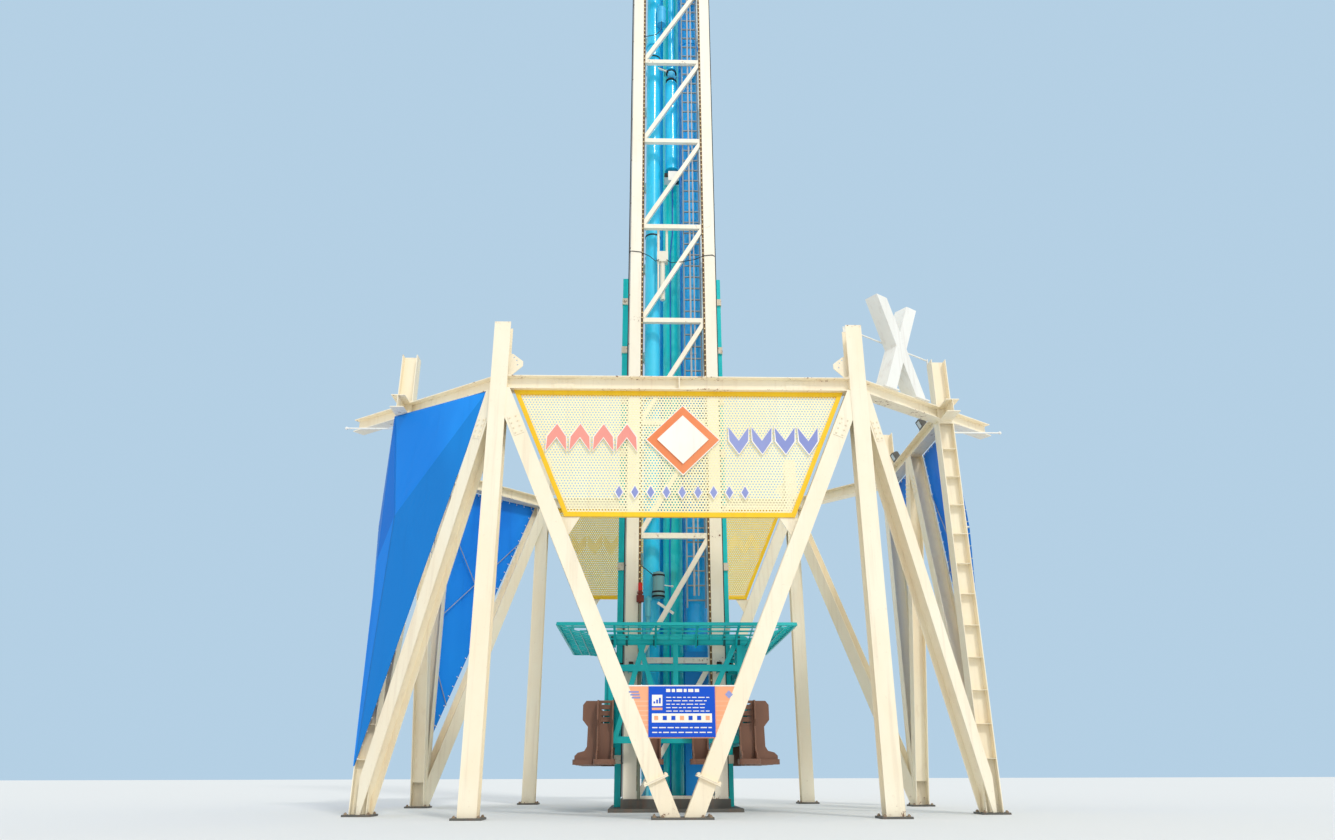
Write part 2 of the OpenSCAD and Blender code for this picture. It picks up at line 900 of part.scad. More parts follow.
module membrane_struts() {
    color("silver")
        difference() {
            union() {
                for (sx = sides, sy = sides)
                    translate([sx * (side_post_x + post_w / 2), side_post_y(sy) - sy * side_near,
                               skin_strut_z])
                        rotate([0, sx * 90, 0])
                            cylinder(r = strut_r, h = side_off - post_w / 2 + skin_push
                                                      - skin_t - strut_gap, $fn = 24);
                for (sy = sides)
                    translate(panel_point(corner_post(sy), corner_along(sy), corner_out(sy),
                                          corner_near, 0, skin_strut_z))
                        rotate([0, 90, atan2(corner_out(sy)[1], corner_out(sy)[0])])
                            cylinder(r = strut_r, h = corner_off + skin_push - skin_t - strut_gap,
                                     $fn = 24);
            }
            side_posts();
        }
}

corner_run = [side_post_x - end_post_x, end_post_y - side_front_y];

// Two crossed box beams that stand on pads on the front right corner beam.
module crossed_beams() {
    size = 150;
    height = 1000;
    half = 300;
    pad_t = 14;
    lean = atan(2 * (half - size / 2) / height);
    color("white")
        on_corner([end_post_x, -end_post_y], [side_post_x, -side_front_y])
            translate([norm(corner_run) / 2, 0, ring_z + ring_w / 2]) {
                intersection() {
                    union()
                        for (s = sides)
                            translate([0, 0, height / 2])
                                rotate([0, s * lean, 0])
                                    cube([size * 0.9, size, 2 * height], center = true);
                    translate([0, 0, height / 2])
                        cube([4 * half, size, height], center = true);
                }
                for (s = sides)
                    translate([s * (half - size / 2), 0, pad_t / 2])
                        cube([size * 1.35, size * 1.2, pad_t], center = true);
            }
}

// Rods with a ball end beyond the forward side posts, and the tie rod behind the crossed beams.
module frame_rods() {
    behind = 85;
    cleat_w = 30;
    tie_z = post_h + tie_lift;
    start = end_post_y - behind * corner_run[0] / norm(corner_run);
    color("white") {
        for (s = sides)
            translate([s * (side_post_x + post_w / 2), -side_front_y, rod_z])
                rotate([0, s * 90, 0]) {
                    cylinder(r = rod_r, h = rod_len, $fn = 24);
                    translate([0, 0, rod_len])
                        sphere(r = rod_r * 2, $fn = 24);
                    cylinder(r = rod_r * 2, h = 6, $fn = 24);
                }
        on_corner([end_post_x, -end_post_y], [side_post_x, -side_front_y])
            translate([0, behind, tie_z])
                rotate([0, 90, 0])
                    cylinder(r = rod_r, h = norm(corner_run) - 27, $fn = 24);
        translate([end_post_x - behind * corner_run[1] / norm(corner_run), -start, post_h])
            box_at([-cleat_w / 2, -2, 0], [cleat_w / 2, plate_t - 2, tie_lift + 2 * rod_r]);
        translate([side_post_x - post_w / 2, -side_front_y + cleat_w + 10, post_h])
            box_at([0, 0, 0], [plate_t, cleat_w, tie_lift + 2 * rod_r]);
    }
}

// Floodlights on the right side beam, tilted down towards the mast.
module floodlights() {
    stem = 34;
    tilt = 25;
    yoke_t = 6;
    yoke_y = (flood_w + yoke_t) / 2 - 1;
    color("dimgray")
        for (y = flood_at)
            translate([side_post_x - ring_w / 2 + 24, y, ring_z + ring_w / 2]) {
                translate([-20, -flood_w / 2, 0])
                    cube([40, flood_w, plate_t]);
                for (s = sides)
                    translate([-12, s * yoke_y - yoke_t / 2, 0])
                        cube([24, yoke_t, stem + flood_h / 2]);
                translate([0, 0, stem + flood_h / 2])
                    rotate([0, -tilt, 0])
                        cube([flood_h * 0.6, flood_w, flood_h], center = true);
            }
}

// Canister with two raised bands, standing clear of the cylinder behind it.
module canister(x, z, high) {
    band = 2;
    band_h = 16;
    translate([-x, beside_cylinder(x, canister_r + band), z]) {
        cylinder(r = canister_r, h = high, $fn = 48);
        for (f = [0.12, 0.78])
            translate([0, 0, f * high])
                cylinder(r = canister_r + band, h = band_h, $fn = 48);
        translate([0, 0, high])
            cylinder(r = canister_r * 0.5, h = 12, $fn = 32);
    }
}

// Where a round fitting in front of the left air cylinder stands, so that it just clears it.
function beside_cylinder(x, r) =
    -cyl_off - sqrt(pow(left_cyl_r + r + skin_gap, 2) - pow(cyl_off - x, 2));

// Box behind the front lattice with two conduits up to the rail above and two pipes below.
module junction_box() {
    depth = 90;
    high = 135;
    conduit_r = 15;
    pipe_h = 495;
    rail_top = base_h + ceil((junction_z - base_h) / bay_h) * bay_h + mast_rail_h / 2;
    translate([-junction_x, -lattice_back + skin_gap, junction_z]) {
        box_at([-junction_w / 2, 0, 0], [junction_w / 2, depth, high]);
        for (s = sides)
            translate([s * (junction_w / 2 - conduit_r), conduit_r, high])
                cylinder(r = conduit_r, h = rail_top - junction_z - high, $fn = 24);
        translate([0, depth / 2, -pipe_h])
            cylinder(r = 29, h = pipe_h, $fn = 32);
        translate([-junction_w / 2 + conduit_r, depth / 3, -0.9 * pipe_h])
            cylinder(r = 11, h = 0.9 * pipe_h, $fn = 24);
    }
}

// Hydrant pipe up the left front leg, on two lugs, with a flanged valve at its head.
module hydrant() {
    pipe_off = 43;
    lug_w = 20;
    lug_high = 30;
    translate([-hydrant_x, -mast_half - pipe_off, 0]) {
        translate([0, 0, base_h])
            cylinder(r = 14, h = hydrant_z - base_h, $fn = 24);
        translate([0, 0, hydrant_z]) {
            cylinder(r = 38, h = 64, $fn = 32);
            cylinder(r = 21, h = 190, $fn = 24);
            translate([0, 0, 80])
                cylinder(r = 30, h = 20, $fn = 32);
        }
        for (z = [base_h + 200, hydrant_z - 150])
            box_at([-lug_w, 0, z], [0, pipe_off, z + lug_high]);
    }
}

module mast_fittings() {
    color("#8fb3a6") {
        canister(160, canister_z, 255);
        canister(131, upper_canister_z, 277);
        junction_box();
        hydrant();
    }
}

// Carriage

// The quarter of the plan that one side fills, set back from the two mitres.
module mitre_quarter(gap) {
    linear_extrude(2 * ring_tube_z)
        polygon([[0, -gap], [-2 * ring_tube_w, -2 * ring_tube_w - gap],
                 [2 * ring_tube_w, -2 * ring_tube_w - gap]]);
}

// One side of the carriage: the tube of the upper ring over a lattice of flat bars.
module carriage_side(angle) {
    color(teal)
        rotate(angle)
            intersection() {
                translate([0, -ring_tube_off, 0]) {
                    ring_tube();
                    translate([0, bar_t / 2, 0])
                        rotate([90, 0, 0])
                            linear_extrude(bar_t)
                                side_bars(ring_tube_z);
                }
                mitre_quarter(0);
            }
}

module ring_tube() {
    translate([-ring_tube_w / 2, 0, ring_tube_z])
        rotate([0, 90, 0])
            cylinder(r = ring_tube_r, h = ring_tube_w, $fn = 32);
}

// A flat bar between two points of a side, cut off at the seat beam and the tube ring.
module side_diagonal(foot, head, top) {
    run = head - foot;
    intersection() {
        translate([0, (seat_beam_z + top) / 2])
            square([2 * upright_x, top - seat_beam_z], center = true);
        translate(foot)
            rotate(atan2(run[1], run[0]))
                square([4 * norm(run), upright_w], center = true);
    }
}

module side_bars(top) {
    drop = cross_z - seat_beam_z;
    for (z = [mid_beam_z, seat_beam_z])
        translate([0, z])
            square([2 * ring_tube_off + bar_t, bar_w], center = true);
    for (x = [-upright_x, 0, upright_x])
        translate([x, (seat_beam_z + top) / 2])
            square([upright_w, top - seat_beam_z], center = true);
    for (s = sides)
        side_diagonal([-cross_x + s * cross_slope * drop, seat_beam_z], [-cross_x, cross_z], top);
    side_diagonal([brace_foot_x, seat_beam_z], [upright_x - upright_w / 2, top], top);
}

// Puts its children at each guide wheel: two a side, on the outer faces of the legs.
module at_wheels() {
    four_sides()
        for (sx = sides)
            translate([sx * (mast_half - mast_leg_w / 2), -mast_half - wheel_gap - wheel_r, wheel_z])
                children();
}

module guide_wheels() {
    color("#2b2b2b")
        at_wheels()
            rotate([0, 90, 0]) {
                cylinder(r = wheel_r, h = wheel_w, center = true, $fn = 48);
                cylinder(r = axle_r, h = wheel_w + 4 * cheek_t, center = true, $fn = 24);
            }
}

module wheel_brackets() {
    back = ring_tube_off - bar_t / 2 - mast_half - wheel_gap - wheel_r;
    drop = mid_beam_z - wheel_z;
    color(teal)
        at_wheels()
            difference() {
                union() {
                    for (s = sides)
                        translate([s * (wheel_w + cheek_t) / 2, (wheel_r * 0.45 - back) / 2, drop])
                            cube([cheek_t, back + wheel_r * 0.45, cheek_h], center = true);
                    translate([0, -back + cheek_t / 2, drop])
                        cube([wheel_w + 2 * cheek_t, cheek_t, cheek_h], center = true);
                }
                rotate([0, 90, 0])
                    cylinder(r = axle_r + 0.1, h = 2 * wheel_w, center = true, $fn = 24);
            }
}

// One flared side of the canopy, drawn along its slope.
module canopy_outline(low, high) {
    function half(s) = canopy_in + s * cos(canopy_angle);
    polygon([[-half(low), low], [half(low), low], [half(high), high], [-half(high), high]]);
}

// Where the canopy's crosswise bars lie: every third one is thick and has a lug on the tube ring.
canopy_half_count = floor(canopy_half / canopy_pitch);
canopy_bars = [for (n = [-canopy_half_count : canopy_half_count - 1]) n + 0.5];
function is_thick(n) = (abs(n) + 1.5) % 3 == 0;

module canopy_grid() {
    linear_extrude(canopy_t) {
        for (n = [0 : canopy_rows])
            let (s = n * (canopy_len - canopy_thin) / canopy_rows)
                canopy_outline(s, s + canopy_thin);
        intersection() {
            canopy_outline(0, canopy_len);
            for (n = canopy_bars)
                translate([n * canopy_pitch, canopy_len / 2])
                    square([is_thick(n) ? canopy_thick : canopy_thin, canopy_len + 2],
                           center = true);
        }
    }
    linear_extrude(canopy_t * 2)
        canopy_outline(canopy_len - canopy_thick, canopy_len);
}

// Side of a lug, drawn inwards and up from the front of the tube ring.
module lug_profile() {
    top = canopy_t / 2;
    difference() {
        polygon([[ring_tube_r, -lug_h], [0, -lug_h],
                 [-lug_reach, (lug_reach - canopy_start) * tan(canopy_angle) + top],
                 [-canopy_start, top], [ring_tube_r, top]]);
        translate([ring_tube_r, 0])
            circle(r = ring_tube_r + canopy_gap, $fn = 32);
        translate([ring_tube_r - bar_t / 2 - canopy_gap, -2 * lug_h])
            square([bar_t, 2 * lug_h]);
    }
}

module canopy_lugs() {
    for (n = canopy_bars)
        if (is_thick(n) && abs(n * canopy_pitch) < ring_tube_off - bar_t)
            translate([n * canopy_pitch - lug_t / 2, -ring_tube_w / 2, ring_tube_z])
                rotate([90, 0, 90])
                    linear_extrude(lug_t)
                        lug_profile();
}

module canopy_side(angle) {
    color(teal)
        rotate(angle)
            intersection() {
                union() {
                    translate([0, -canopy_in, ring_tube_z])
                        rotate([180 - canopy_angle, 0, 0])
                            translate([0, 0, -canopy_t])
                                canopy_grid();
                    canopy_lugs();
                }
                mitre_quarter(canopy_gap);
            }
}

// Seats

module rounded_square(w, h, r) {
    square([w, h - 2 * r], center = true);
    square([w - 2 * r, h], center = true);
    for (sx = sides, sy = sides)
        translate([sx * (w / 2 - r), sy * (h / 2 - r)])
            circle(r = r, $fn = 32);
}

// Side of a seat shell, drawn as depth in front of the back and height above the pan.
module shell_profile() {
    head = shell_h - ear_h;
    polygon([[0, -pan_t], [shell_side_d - 40, -pan_t], [shell_side_d, -12], [shell_side_d, 30],
             [shell_side_d - 30, hip_h], [waist_d + 24, hip_h + 14], [waist_d, hip_h + 52],
             [waist_d - 4, head - 60], [ear_d, head], [ear_d, shell_h - 38],
             [ear_d - 30, shell_h], [0, shell_h]]);
}

// The pan's outline, open behind for the back and slotted for the shell's sides.
module pan_outline() {
    difference() {
        translate([0, -pan_d / 2])
            rounded_square(pan_w, pan_d, pan_r);
        translate([-pan_w / 2, -back_t - seat_seam])
            square([pan_w, back_t + 1]);
        for (s = sides)
            translate([s * shell_side_x, -shell_side_d / 2])
                square([shell_wall + 2 * seat_seam, shell_side_d + 2 * seat_seam], center = true);
    }
}

module seat_pan() {
    difference() {
        translate([0, 0, -pan_t])
            linear_extrude(pan_t)
                pan_outline();
        translate([0, 0, pan_hollow_r - pan_hollow])
            rotate([90, 0, 0])
                cylinder(r = pan_hollow_r, h = pan_d - pan_edge, $fn = 96);
    }
}

module seat_back() {
    half = shell_w / 2 - shell_wall - seat_seam;
    difference() {
        box_at([-half, -back_t, -pan_t], [half, 0, shell_h]);
        for (n = [0 : slot_count - 1])
            translate([0, -back_t / 2, shell_h - slot_drop - n * slot_pitch])
                cube([slot_w, back_t * 2, slot_h], center = true);
    }
}

// A seat: a hollowed pan, a slotted back between two sides, and the arm from the seat beam.
module seat() {
    beam = seat_beam_z - seat_pan_z;
    translate([0, 0, seat_pan_z]) {
        seat_pan();
        seat_back();
        for (s = sides)
            translate([s * shell_side_x - shell_wall / 2, 0, 0])
                rotate([90, 0, -90])
                    mirror([0, 0, 1])
                        linear_extrude(shell_wall)
                            shell_profile();
        box_at([-seat_arm_w / 2, seat_seam, beam - bar_w / 2],
               [seat_arm_w / 2, seat_set, beam + bar_w / 2]);
    }
}

module seat_row(angle) {
    color("#855e42")
        rotate(angle)
            for (n = [-1.5, -0.5, 0.5, 1.5])
                translate([n * seat_pitch, -seat_y, 0])
                    seat();
}

mast_base();
mast_legs();
lattice(0);  // mast_front_lattice
lattice(180);  // mast_back_lattice
lattice(270);  // mast_left_lattice
lattice(90);  // mast_right_lattice
mast_head();
left_air_cylinders();
right_air_cylinders();
centre_column();
upper_air_tank();
upper_pipe();
ladder();
control_cabinet();
guide_tubes();
clamp_rail(-1);  // left_clamp_rail
clamp_rail(1);  // right_clamp_rail
end_posts();
side_posts();
foot_plates();
end_ring_beam(-1);  // front_ring_beam
end_ring_beam(1);  // back_ring_beam
side_ring_beams();
corner_ring_beams();
vee(-1);  // front_braces
vee(1);  // back_braces
corner_braces();
side_braces();
sign_frame(-1);  // front_sign_frame
sign_sheet(-1);  // front_sign_sheet
sign_frame(1);  // back_sign_frame
sign_sheet(1);  // back_sign_sheet
notice_board();
notice_panel();
corner_membranes();
side_membranes(-1);  // left_membranes
side_membranes(1);  // right_membranes
membrane_struts();
crossed_beams();
frame_rods();
floodlights();
mast_fittings();
carriage_side(0);  // carriage_front
carriage_side(180);  // carriage_back
carriage_side(270);  // carriage_left
carriage_side(90);  // carriage_right
guide_wheels();
wheel_brackets();
canopy_side(0);  // canopy_front
canopy_side(180);  // canopy_back
canopy_side(270);  // canopy_left
canopy_side(90);  // canopy_right
seat_row(0);  // front_seats
seat_row(180);  // back_seats
seat_row(270);  // left_seats
seat_row(90);  // right_seats
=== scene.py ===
import math
import random

import bmesh
import bpy
from mathutils import Matrix, Vector
from mathutils.noise import noise


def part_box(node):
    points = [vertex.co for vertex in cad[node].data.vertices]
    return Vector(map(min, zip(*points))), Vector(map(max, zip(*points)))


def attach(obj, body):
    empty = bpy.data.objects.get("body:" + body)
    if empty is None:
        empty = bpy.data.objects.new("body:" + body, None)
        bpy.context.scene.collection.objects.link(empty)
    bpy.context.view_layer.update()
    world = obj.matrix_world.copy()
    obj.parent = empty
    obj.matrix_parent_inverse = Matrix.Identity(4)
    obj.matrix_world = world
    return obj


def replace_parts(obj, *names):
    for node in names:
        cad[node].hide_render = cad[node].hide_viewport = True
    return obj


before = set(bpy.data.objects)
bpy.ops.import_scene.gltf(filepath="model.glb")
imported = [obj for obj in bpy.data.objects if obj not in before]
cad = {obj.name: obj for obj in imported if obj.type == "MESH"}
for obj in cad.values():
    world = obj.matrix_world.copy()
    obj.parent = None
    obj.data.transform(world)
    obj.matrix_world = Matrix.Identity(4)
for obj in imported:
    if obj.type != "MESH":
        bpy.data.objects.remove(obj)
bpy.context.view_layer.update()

rng = random.Random(7)
sides = (-1, 1)
quarters = [(sx, sy) for sx in sides for sy in sides]


# Camera, light and floor

view = {
    "place": (-0.309, -9.4695, 0.3165),   # the photograph's viewpoint
    "pitch": 21.657,
    "yaw": -1.542,
    "roll": -0.143,
    "lens": 24.11,
    "sensor": 36.0,
    "far": 500,
}

studio = {
    "sky": (0.46, 0.63, 0.78),      # what the camera and the gloss see
    "ambient": (0.96, 0.98, 1.0),   # what lights the tower
    "ambientLevel": 0.95,
    "sun": 1.1,
    "sunColour": (1.0, 0.965, 0.90),
    "sunTurn": (48, 0, 24),         # degrees, light from the front right
    "sunSoftness": 8,
    "floor": (0.74, 0.76, 0.76),
    "floorRoughness": 0.9,
    "floorSize": 160,
    "floorDrop": 0.0006,            # the floor stays clear of the foot plates
}


def toLinear(value):
    value /= 255
    return value / 12.92 if value <= 0.04045 else ((value + 0.055) / 1.055) ** 2.4


def paint(r, g, b):
    return (toLinear(r), toLinear(g), toLinear(b), 1.0)


def addToScene(made):
    bpy.context.scene.collection.objects.link(made)


def addNode(tree, kind, inputs=None, **settings):
    made = tree.nodes.new(kind)
    for name, value in settings.items():
        setattr(made, name, value)
    for name, value in (inputs or {}).items():
        if isinstance(value, bpy.types.NodeSocket):
            tree.links.new(value, made.inputs[name])
        else:
            made.inputs[name].default_value = value
    return made


def mathNode(tree, operation, a, b=0.0, clamp=False):
    return addNode(tree, "ShaderNodeMath", {0: a, 1: b}, operation=operation,
                   use_clamp=clamp).outputs[0]


def newMaterial(name):
    material = bpy.data.materials.new(name)
    material.use_nodes = True
    return material, material.node_tree, material.node_tree.nodes["Principled BSDF"]


def makeCamera(s):
    data = bpy.data.cameras.new("photoView")
    data.lens = s["lens"]
    data.sensor_width = s["sensor"]
    data.clip_end = s["far"]
    camera = bpy.data.objects.new("photoView", data)
    camera.matrix_world = (Matrix.Translation(s["place"])
                           @ Matrix.Rotation(math.radians(s["yaw"]), 4, "Z")
                           @ Matrix.Rotation(math.radians(90 + s["pitch"]), 4, "X")
                           @ Matrix.Rotation(math.radians(s["roll"]), 4, "Z"))
    addToScene(camera)
    bpy.context.scene.camera = camera


def makeWorld(s):
    world = bpy.data.worlds.new("studio")
    world.use_nodes = True
    bpy.context.scene.world = world
    tree = world.node_tree
    tree.nodes.clear()
    rays = addNode(tree, "ShaderNodeLightPath").outputs
    seen = mathNode(tree, "MAXIMUM", rays["Is Camera Ray"], rays["Is Glossy Ray"])
    seen = mathNode(tree, "MAXIMUM", seen, rays["Is Transmission Ray"])
    lit = addNode(tree, "ShaderNodeBackground",
                  {"Color": (*s["ambient"], 1), "Strength": s["ambientLevel"]})
    shown = addNode(tree, "ShaderNodeBackground", {"Color": (*s["sky"], 1), "Strength": 1.0})
    mixed = addNode(tree, "ShaderNodeMixShader", {0: seen, 1: lit.outputs[0], 2: shown.outputs[0]})
    addNode(tree, "ShaderNodeOutputWorld", {"Surface": mixed.outputs[0]})


def makeSun(s):
    data = bpy.data.lights.new("sun", "SUN")
    data.energy = s["sun"]
    data.angle = math.radians(s["sunSoftness"])
    data.color = s["sunColour"]
    sun = bpy.data.objects.new("sun", data)
    sun.rotation_euler = [math.radians(a) for a in s["sunTurn"]]
    addToScene(sun)


def makeFloor(s):
    bm = bmesh.new()
    bmesh.ops.create_grid(bm, x_segments=1, y_segments=1, size=s["floorSize"] / 2)
    bmesh.ops.translate(bm, verts=bm.verts, vec=(0, 0, -s["floorDrop"]))
    mesh = bpy.data.meshes.new("floor")
    bm.to_mesh(mesh)
    bm.free()
    floor = bpy.data.objects.new("floor", mesh)
    addToScene(floor)
    material, tree, shader = newMaterial("floorMatt")
    shader.inputs["Base Color"].default_value = (*s["floor"], 1)
    shader.inputs["Roughness"].default_value = s["floorRoughness"]
    mesh.materials.append(material)


bpy.context.scene.view_settings.view_transform = "Standard"
makeCamera(view)
makeWorld(studio)
makeSun(studio)
makeFloor(studio)
print("camera, light and floor made")


# Shared shader nodes

def newGroup(name, inputs, outputs):
    group = bpy.data.node_groups.new(name, "ShaderNodeTree")
    for title, kind in inputs:
        group.interface.new_socket(title, in_out="INPUT", socket_type="NodeSocket" + kind)
    for title, kind in outputs:
        group.interface.new_socket(title, in_out="OUTPUT", socket_type="NodeSocket" + kind)
    return group, addNode(group, "NodeGroupInput").outputs, addNode(group, "NodeGroupOutput").inputs


def ramp(tree, value, low, high, out=(0.0, 1.0)):
    return addNode(tree, "ShaderNodeMapRange",
                   {"Value": value, "From Min": low, "From Max": high, "To Min": out[0],
                    "To Max": out[1]}, interpolation_type="SMOOTHSTEP").outputs[0]


def times(tree, a, b):
    return mathNode(tree, "MULTIPLY", a, b)


def mixColour(tree, factor, a, b):
    return addNode(tree, "ShaderNodeMix", {0: factor, 6: a, 7: b}, data_type="RGBA").outputs[2]


def noiseAt(tree, coords, stretch, scale, detail=4.0, roughness=0.6):
    mapped = addNode(tree, "ShaderNodeMapping", {"Vector": coords, "Scale": stretch})
    return addNode(tree, "ShaderNodeTexNoise",
                   {"Vector": mapped.outputs[0], "Scale": scale, "Detail": detail,
                    "Roughness": roughness}).outputs[0]


def addBump(tree, shader, height, strength, distance):
    bump = addNode(tree, "ShaderNodeBump", {"Strength": strength, "Distance": distance, "Height": height})
    tree.links.new(bump.outputs["Normal"], shader.inputs["Normal"])


even = (1, 1, 1)

weathering = {
    "patches": ((1, 1, 0.6), 1.7, 4, (0.35, 0.7)),      # stretch, scale, detail, range of the noise
    "streaks": ((1, 1, 0.05), 22, 5, (0.5, 0.72)),
    "spread": (even, 2.6, 2, (0.40, 0.62)),             # breaks up the rust at the joints
    "faded": 0.6,               # share of the faded colour in a patch
    "grime": 0.6,               # share of rust in the dirt
    "chips": (31, 7, 0.72),     # scale, detail, roughness
    "jointRust": 0.14,
    "wearRust": 0.12,
    "halo": (0.62, 0.80),
    "haloShare": 0.4,
    "bare": (0.74, 0.78),
    "deepRust": (0.075, 0.028, 0.012, 1),
    "speckle": 90,
    "patchRough": 0.12,
    "bareRough": 0.5,
    "peelScale": 160,
    "peel": 0.25,
    "pit": 0.7,
}


def makeWeatherGroup(s):
    group, given, out = newGroup(
        "weatheredPaint",
        [("Coords", "Vector"), ("Paint", "Color"), ("Faded", "Color"), ("Rust", "Color"),
         ("Joint", "Float"), ("Wear", "Float"), ("Dirt", "Float"), ("Gloss", "Float")],
        [("Color", "Color"), ("Roughness", "Float"), ("Height", "Float")])
    coords = given["Coords"]

    def spots(stretch, scale, detail, limits):
        return ramp(group, noiseAt(group, coords, stretch, scale, detail), *limits)

    patches = spots(*s["patches"])
    colour = mixColour(group, times(group, patches, s["faded"]), given["Paint"], given["Faded"])
    grime = mixColour(group, s["grime"], given["Faded"], given["Rust"])
    colour = mixColour(group, times(group, spots(*s["streaks"]), given["Dirt"]), colour, grime)
    joint = times(group, given["Joint"], spots(*s["spread"]))
    chips = noiseAt(group, coords, even, *s["chips"])
    chips = mathNode(group, "ADD", chips, times(group, joint, s["jointRust"]))
    chips = mathNode(group, "ADD", chips, times(group, given["Wear"], s["wearRust"]))
    halo = times(group, ramp(group, chips, *s["halo"]), s["haloShare"])
    colour = mixColour(group, halo, colour, grime)
    bare = ramp(group, chips, *s["bare"])
    darker = noiseAt(group, coords, even, s["speckle"], 3)
    rust = mixColour(group, darker, given["Rust"], s["deepRust"])
    group.links.new(mixColour(group, bare, colour, rust), out["Color"])
    rough = mathNode(group, "ADD", given["Gloss"], times(group, patches, s["patchRough"]))
    rough = mathNode(group, "ADD", rough, times(group, bare, s["bareRough"]), clamp=True)
    group.links.new(rough, out["Roughness"])
    peel = times(group, noiseAt(group, coords, even, s["peelScale"], 2), s["peel"])
    group.links.new(mathNode(group, "SUBTRACT", peel, times(group, bare, s["pit"])), out["Height"])
    return group


weather = makeWeatherGroup(weathering)


# Materials

paintwork = {
    "rust": paint(142, 82, 44),
    "bump": (0.35, 0.002),           # strength and distance
    "coatRoughness": 0.08,
    "specular": 0.3,
    "stripe": (0.10, 0.13),          # half width of a pale line, sharp and soft, in pitches
}

mastBays = (0.11, 1.25, 0.075)       # first joint, pitch and half height of the stained zone


# Fresh and faded colour, gloss, wear and dirt, then what only some paints have
def worn(fresh, faded, gloss, wear, dirt, **more):
    return {"paint": paint(*fresh), "faded": paint(*faded), "gloss": gloss, "wear": wear,
            "dirt": dirt, **more}


paints = {
    "mastCream": worn((252, 246, 230), (246, 236, 212), 0.32, 0.15, 0.12, repeat=mastBays),
    "clampCream": worn((240, 228, 206), (216, 192, 162), 0.5, 0.4, 0.3, repeat=(0.46, 0.64, 0.08)),
    "frameCream": worn((251, 242, 218), (248, 230, 198), 0.40, 0.2, 0.16,
                       bands=[(0.0, 0.2), (4.25, 0.05)]),
    "ringCream": worn((251, 242, 218), (248, 230, 198), 0.40, 0.25, 0.2,
                      bands=[(3.708, 0.03), (3.582, 0.024)]),
    "whitePaint": worn((244, 244, 238), (226, 226, 218), 0.38, 0.15, 0.2),
    "teal": worn((0, 176, 182), (34, 200, 200), 0.34, 0.0, 0.05),
    "darkTeal": worn((6, 92, 96), (20, 112, 114), 0.45, 0.1, 0.1),
    "tubeTeal": worn((0, 198, 200), (34, 216, 212), 0.34, 0.0, 0.05),
    "columnTeal": worn((4, 222, 216), (84, 236, 230), 0.2, 0.0, 0.05, coat=0.5),
    "cylinderBlue": worn((34, 208, 255), (96, 226, 255), 0.22, 0.0, 0.05, coat=0.5),
    "cylinderDeep": worn((12, 172, 252), (60, 200, 255), 0.22, 0.0, 0.05, coat=0.5),
    "cabinetBlue": worn((2, 130, 206), (12, 142, 220), 0.42, 0.05, 0.12),
    "darkSteel": worn((92, 92, 88), (120, 116, 106), 0.55, 0.5, 0.4),
    "ladderGrey": worn((142, 156, 164), (112, 126, 134), 0.45, 0.1, 0.2),
    "valveBlue": worn((96, 204, 244), (128, 220, 250), 0.3, 0.1, 0.15),
    "fittingGreen": worn((124, 178, 184), (124, 178, 184), 0.4, 0.2, 0.2,
                         levels=[(5.0, paint(236, 232, 214)), (8.5, paint(70, 188, 236))],
                         beyond=(-0.305, paint(132, 138, 120),
                                 [(1.90, paint(122, 52, 40)), (2.03, paint(214, 40, 34))])),
    "fittingCyan": worn((110, 214, 236), (140, 226, 242), 0.35, 0.2, 0.2),
    "signYellow": worn((254, 208, 40), (244, 190, 34), 0.38, 0.25, 0.16),
    "sheetCream": worn((253, 246, 208), (250, 238, 188), 0.45, 0.0, 0.10),
    # Inner side of the sign sheets: a warmer yellow than the outer cream, painted light shining through the
    # sheet
    "sheetInnerPaintedBacklight": worn((255, 226, 112), (254, 216, 98), 0.45, 0.0, 0.12),
    "boardSalmon": worn((250, 178, 136), (247, 166, 120), 0.4, 0.0, 0.1,
                        stripes=(0.62, 0.88, 0.036, paint(252, 196, 160))),
    "panelBlue": worn((2, 84, 208), (2, 76, 196), 0.38, 0.0, 0.04),
    "seatBrown": worn((120, 86, 70), (138, 102, 84), 0.34, 0.0, 0.15),
    "rubber": worn((36, 36, 36), (62, 60, 56), 0.75, 0.0, 0.4),
    "galvanised": worn((196, 200, 200), (170, 176, 178), 0.4, 0.1, 0.2, metal=0.4),
    "blackCable": worn((30, 32, 34), (58, 58, 56), 0.5, 0.0, 0.3),
    "bulbStrip": worn((122, 92, 58), (78, 58, 40), 0.5, 0.2, 0.3),
    "greyConduit": worn((178, 182, 184), (150, 156, 160), 0.5, 0.1, 0.25),
    "blueHose": worn((30, 116, 206), (56, 140, 220), 0.4, 0.0, 0.1),
    "boltSteel": worn((178, 158, 134), (140, 112, 86), 0.5, 0.6, 0.4, metal=0.3),
    "signWhite": worn((253, 250, 242), (244, 236, 220), 0.38, 0.0, 0.1),
    "signSalmon": worn((240, 146, 136), (246, 166, 150), 0.4, 0.0, 0.1),
    "signLavender": worn((140, 150, 208), (160, 168, 216), 0.4, 0.0, 0.1),
    "signOrange": worn((238, 134, 82), (242, 154, 104), 0.4, 0.0, 0.1),
    "bulbWarm": worn((255, 230, 178), (252, 218, 156), 0.15, 0.0, 0.1),
    "lampGlass": worn((214, 222, 224), (190, 200, 204), 0.08, 0.0, 0.2),
}


# Names of the nodes that come once on each of the four sides
def each(pattern):
    return [pattern % side for side in ("front", "back", "left", "right")]


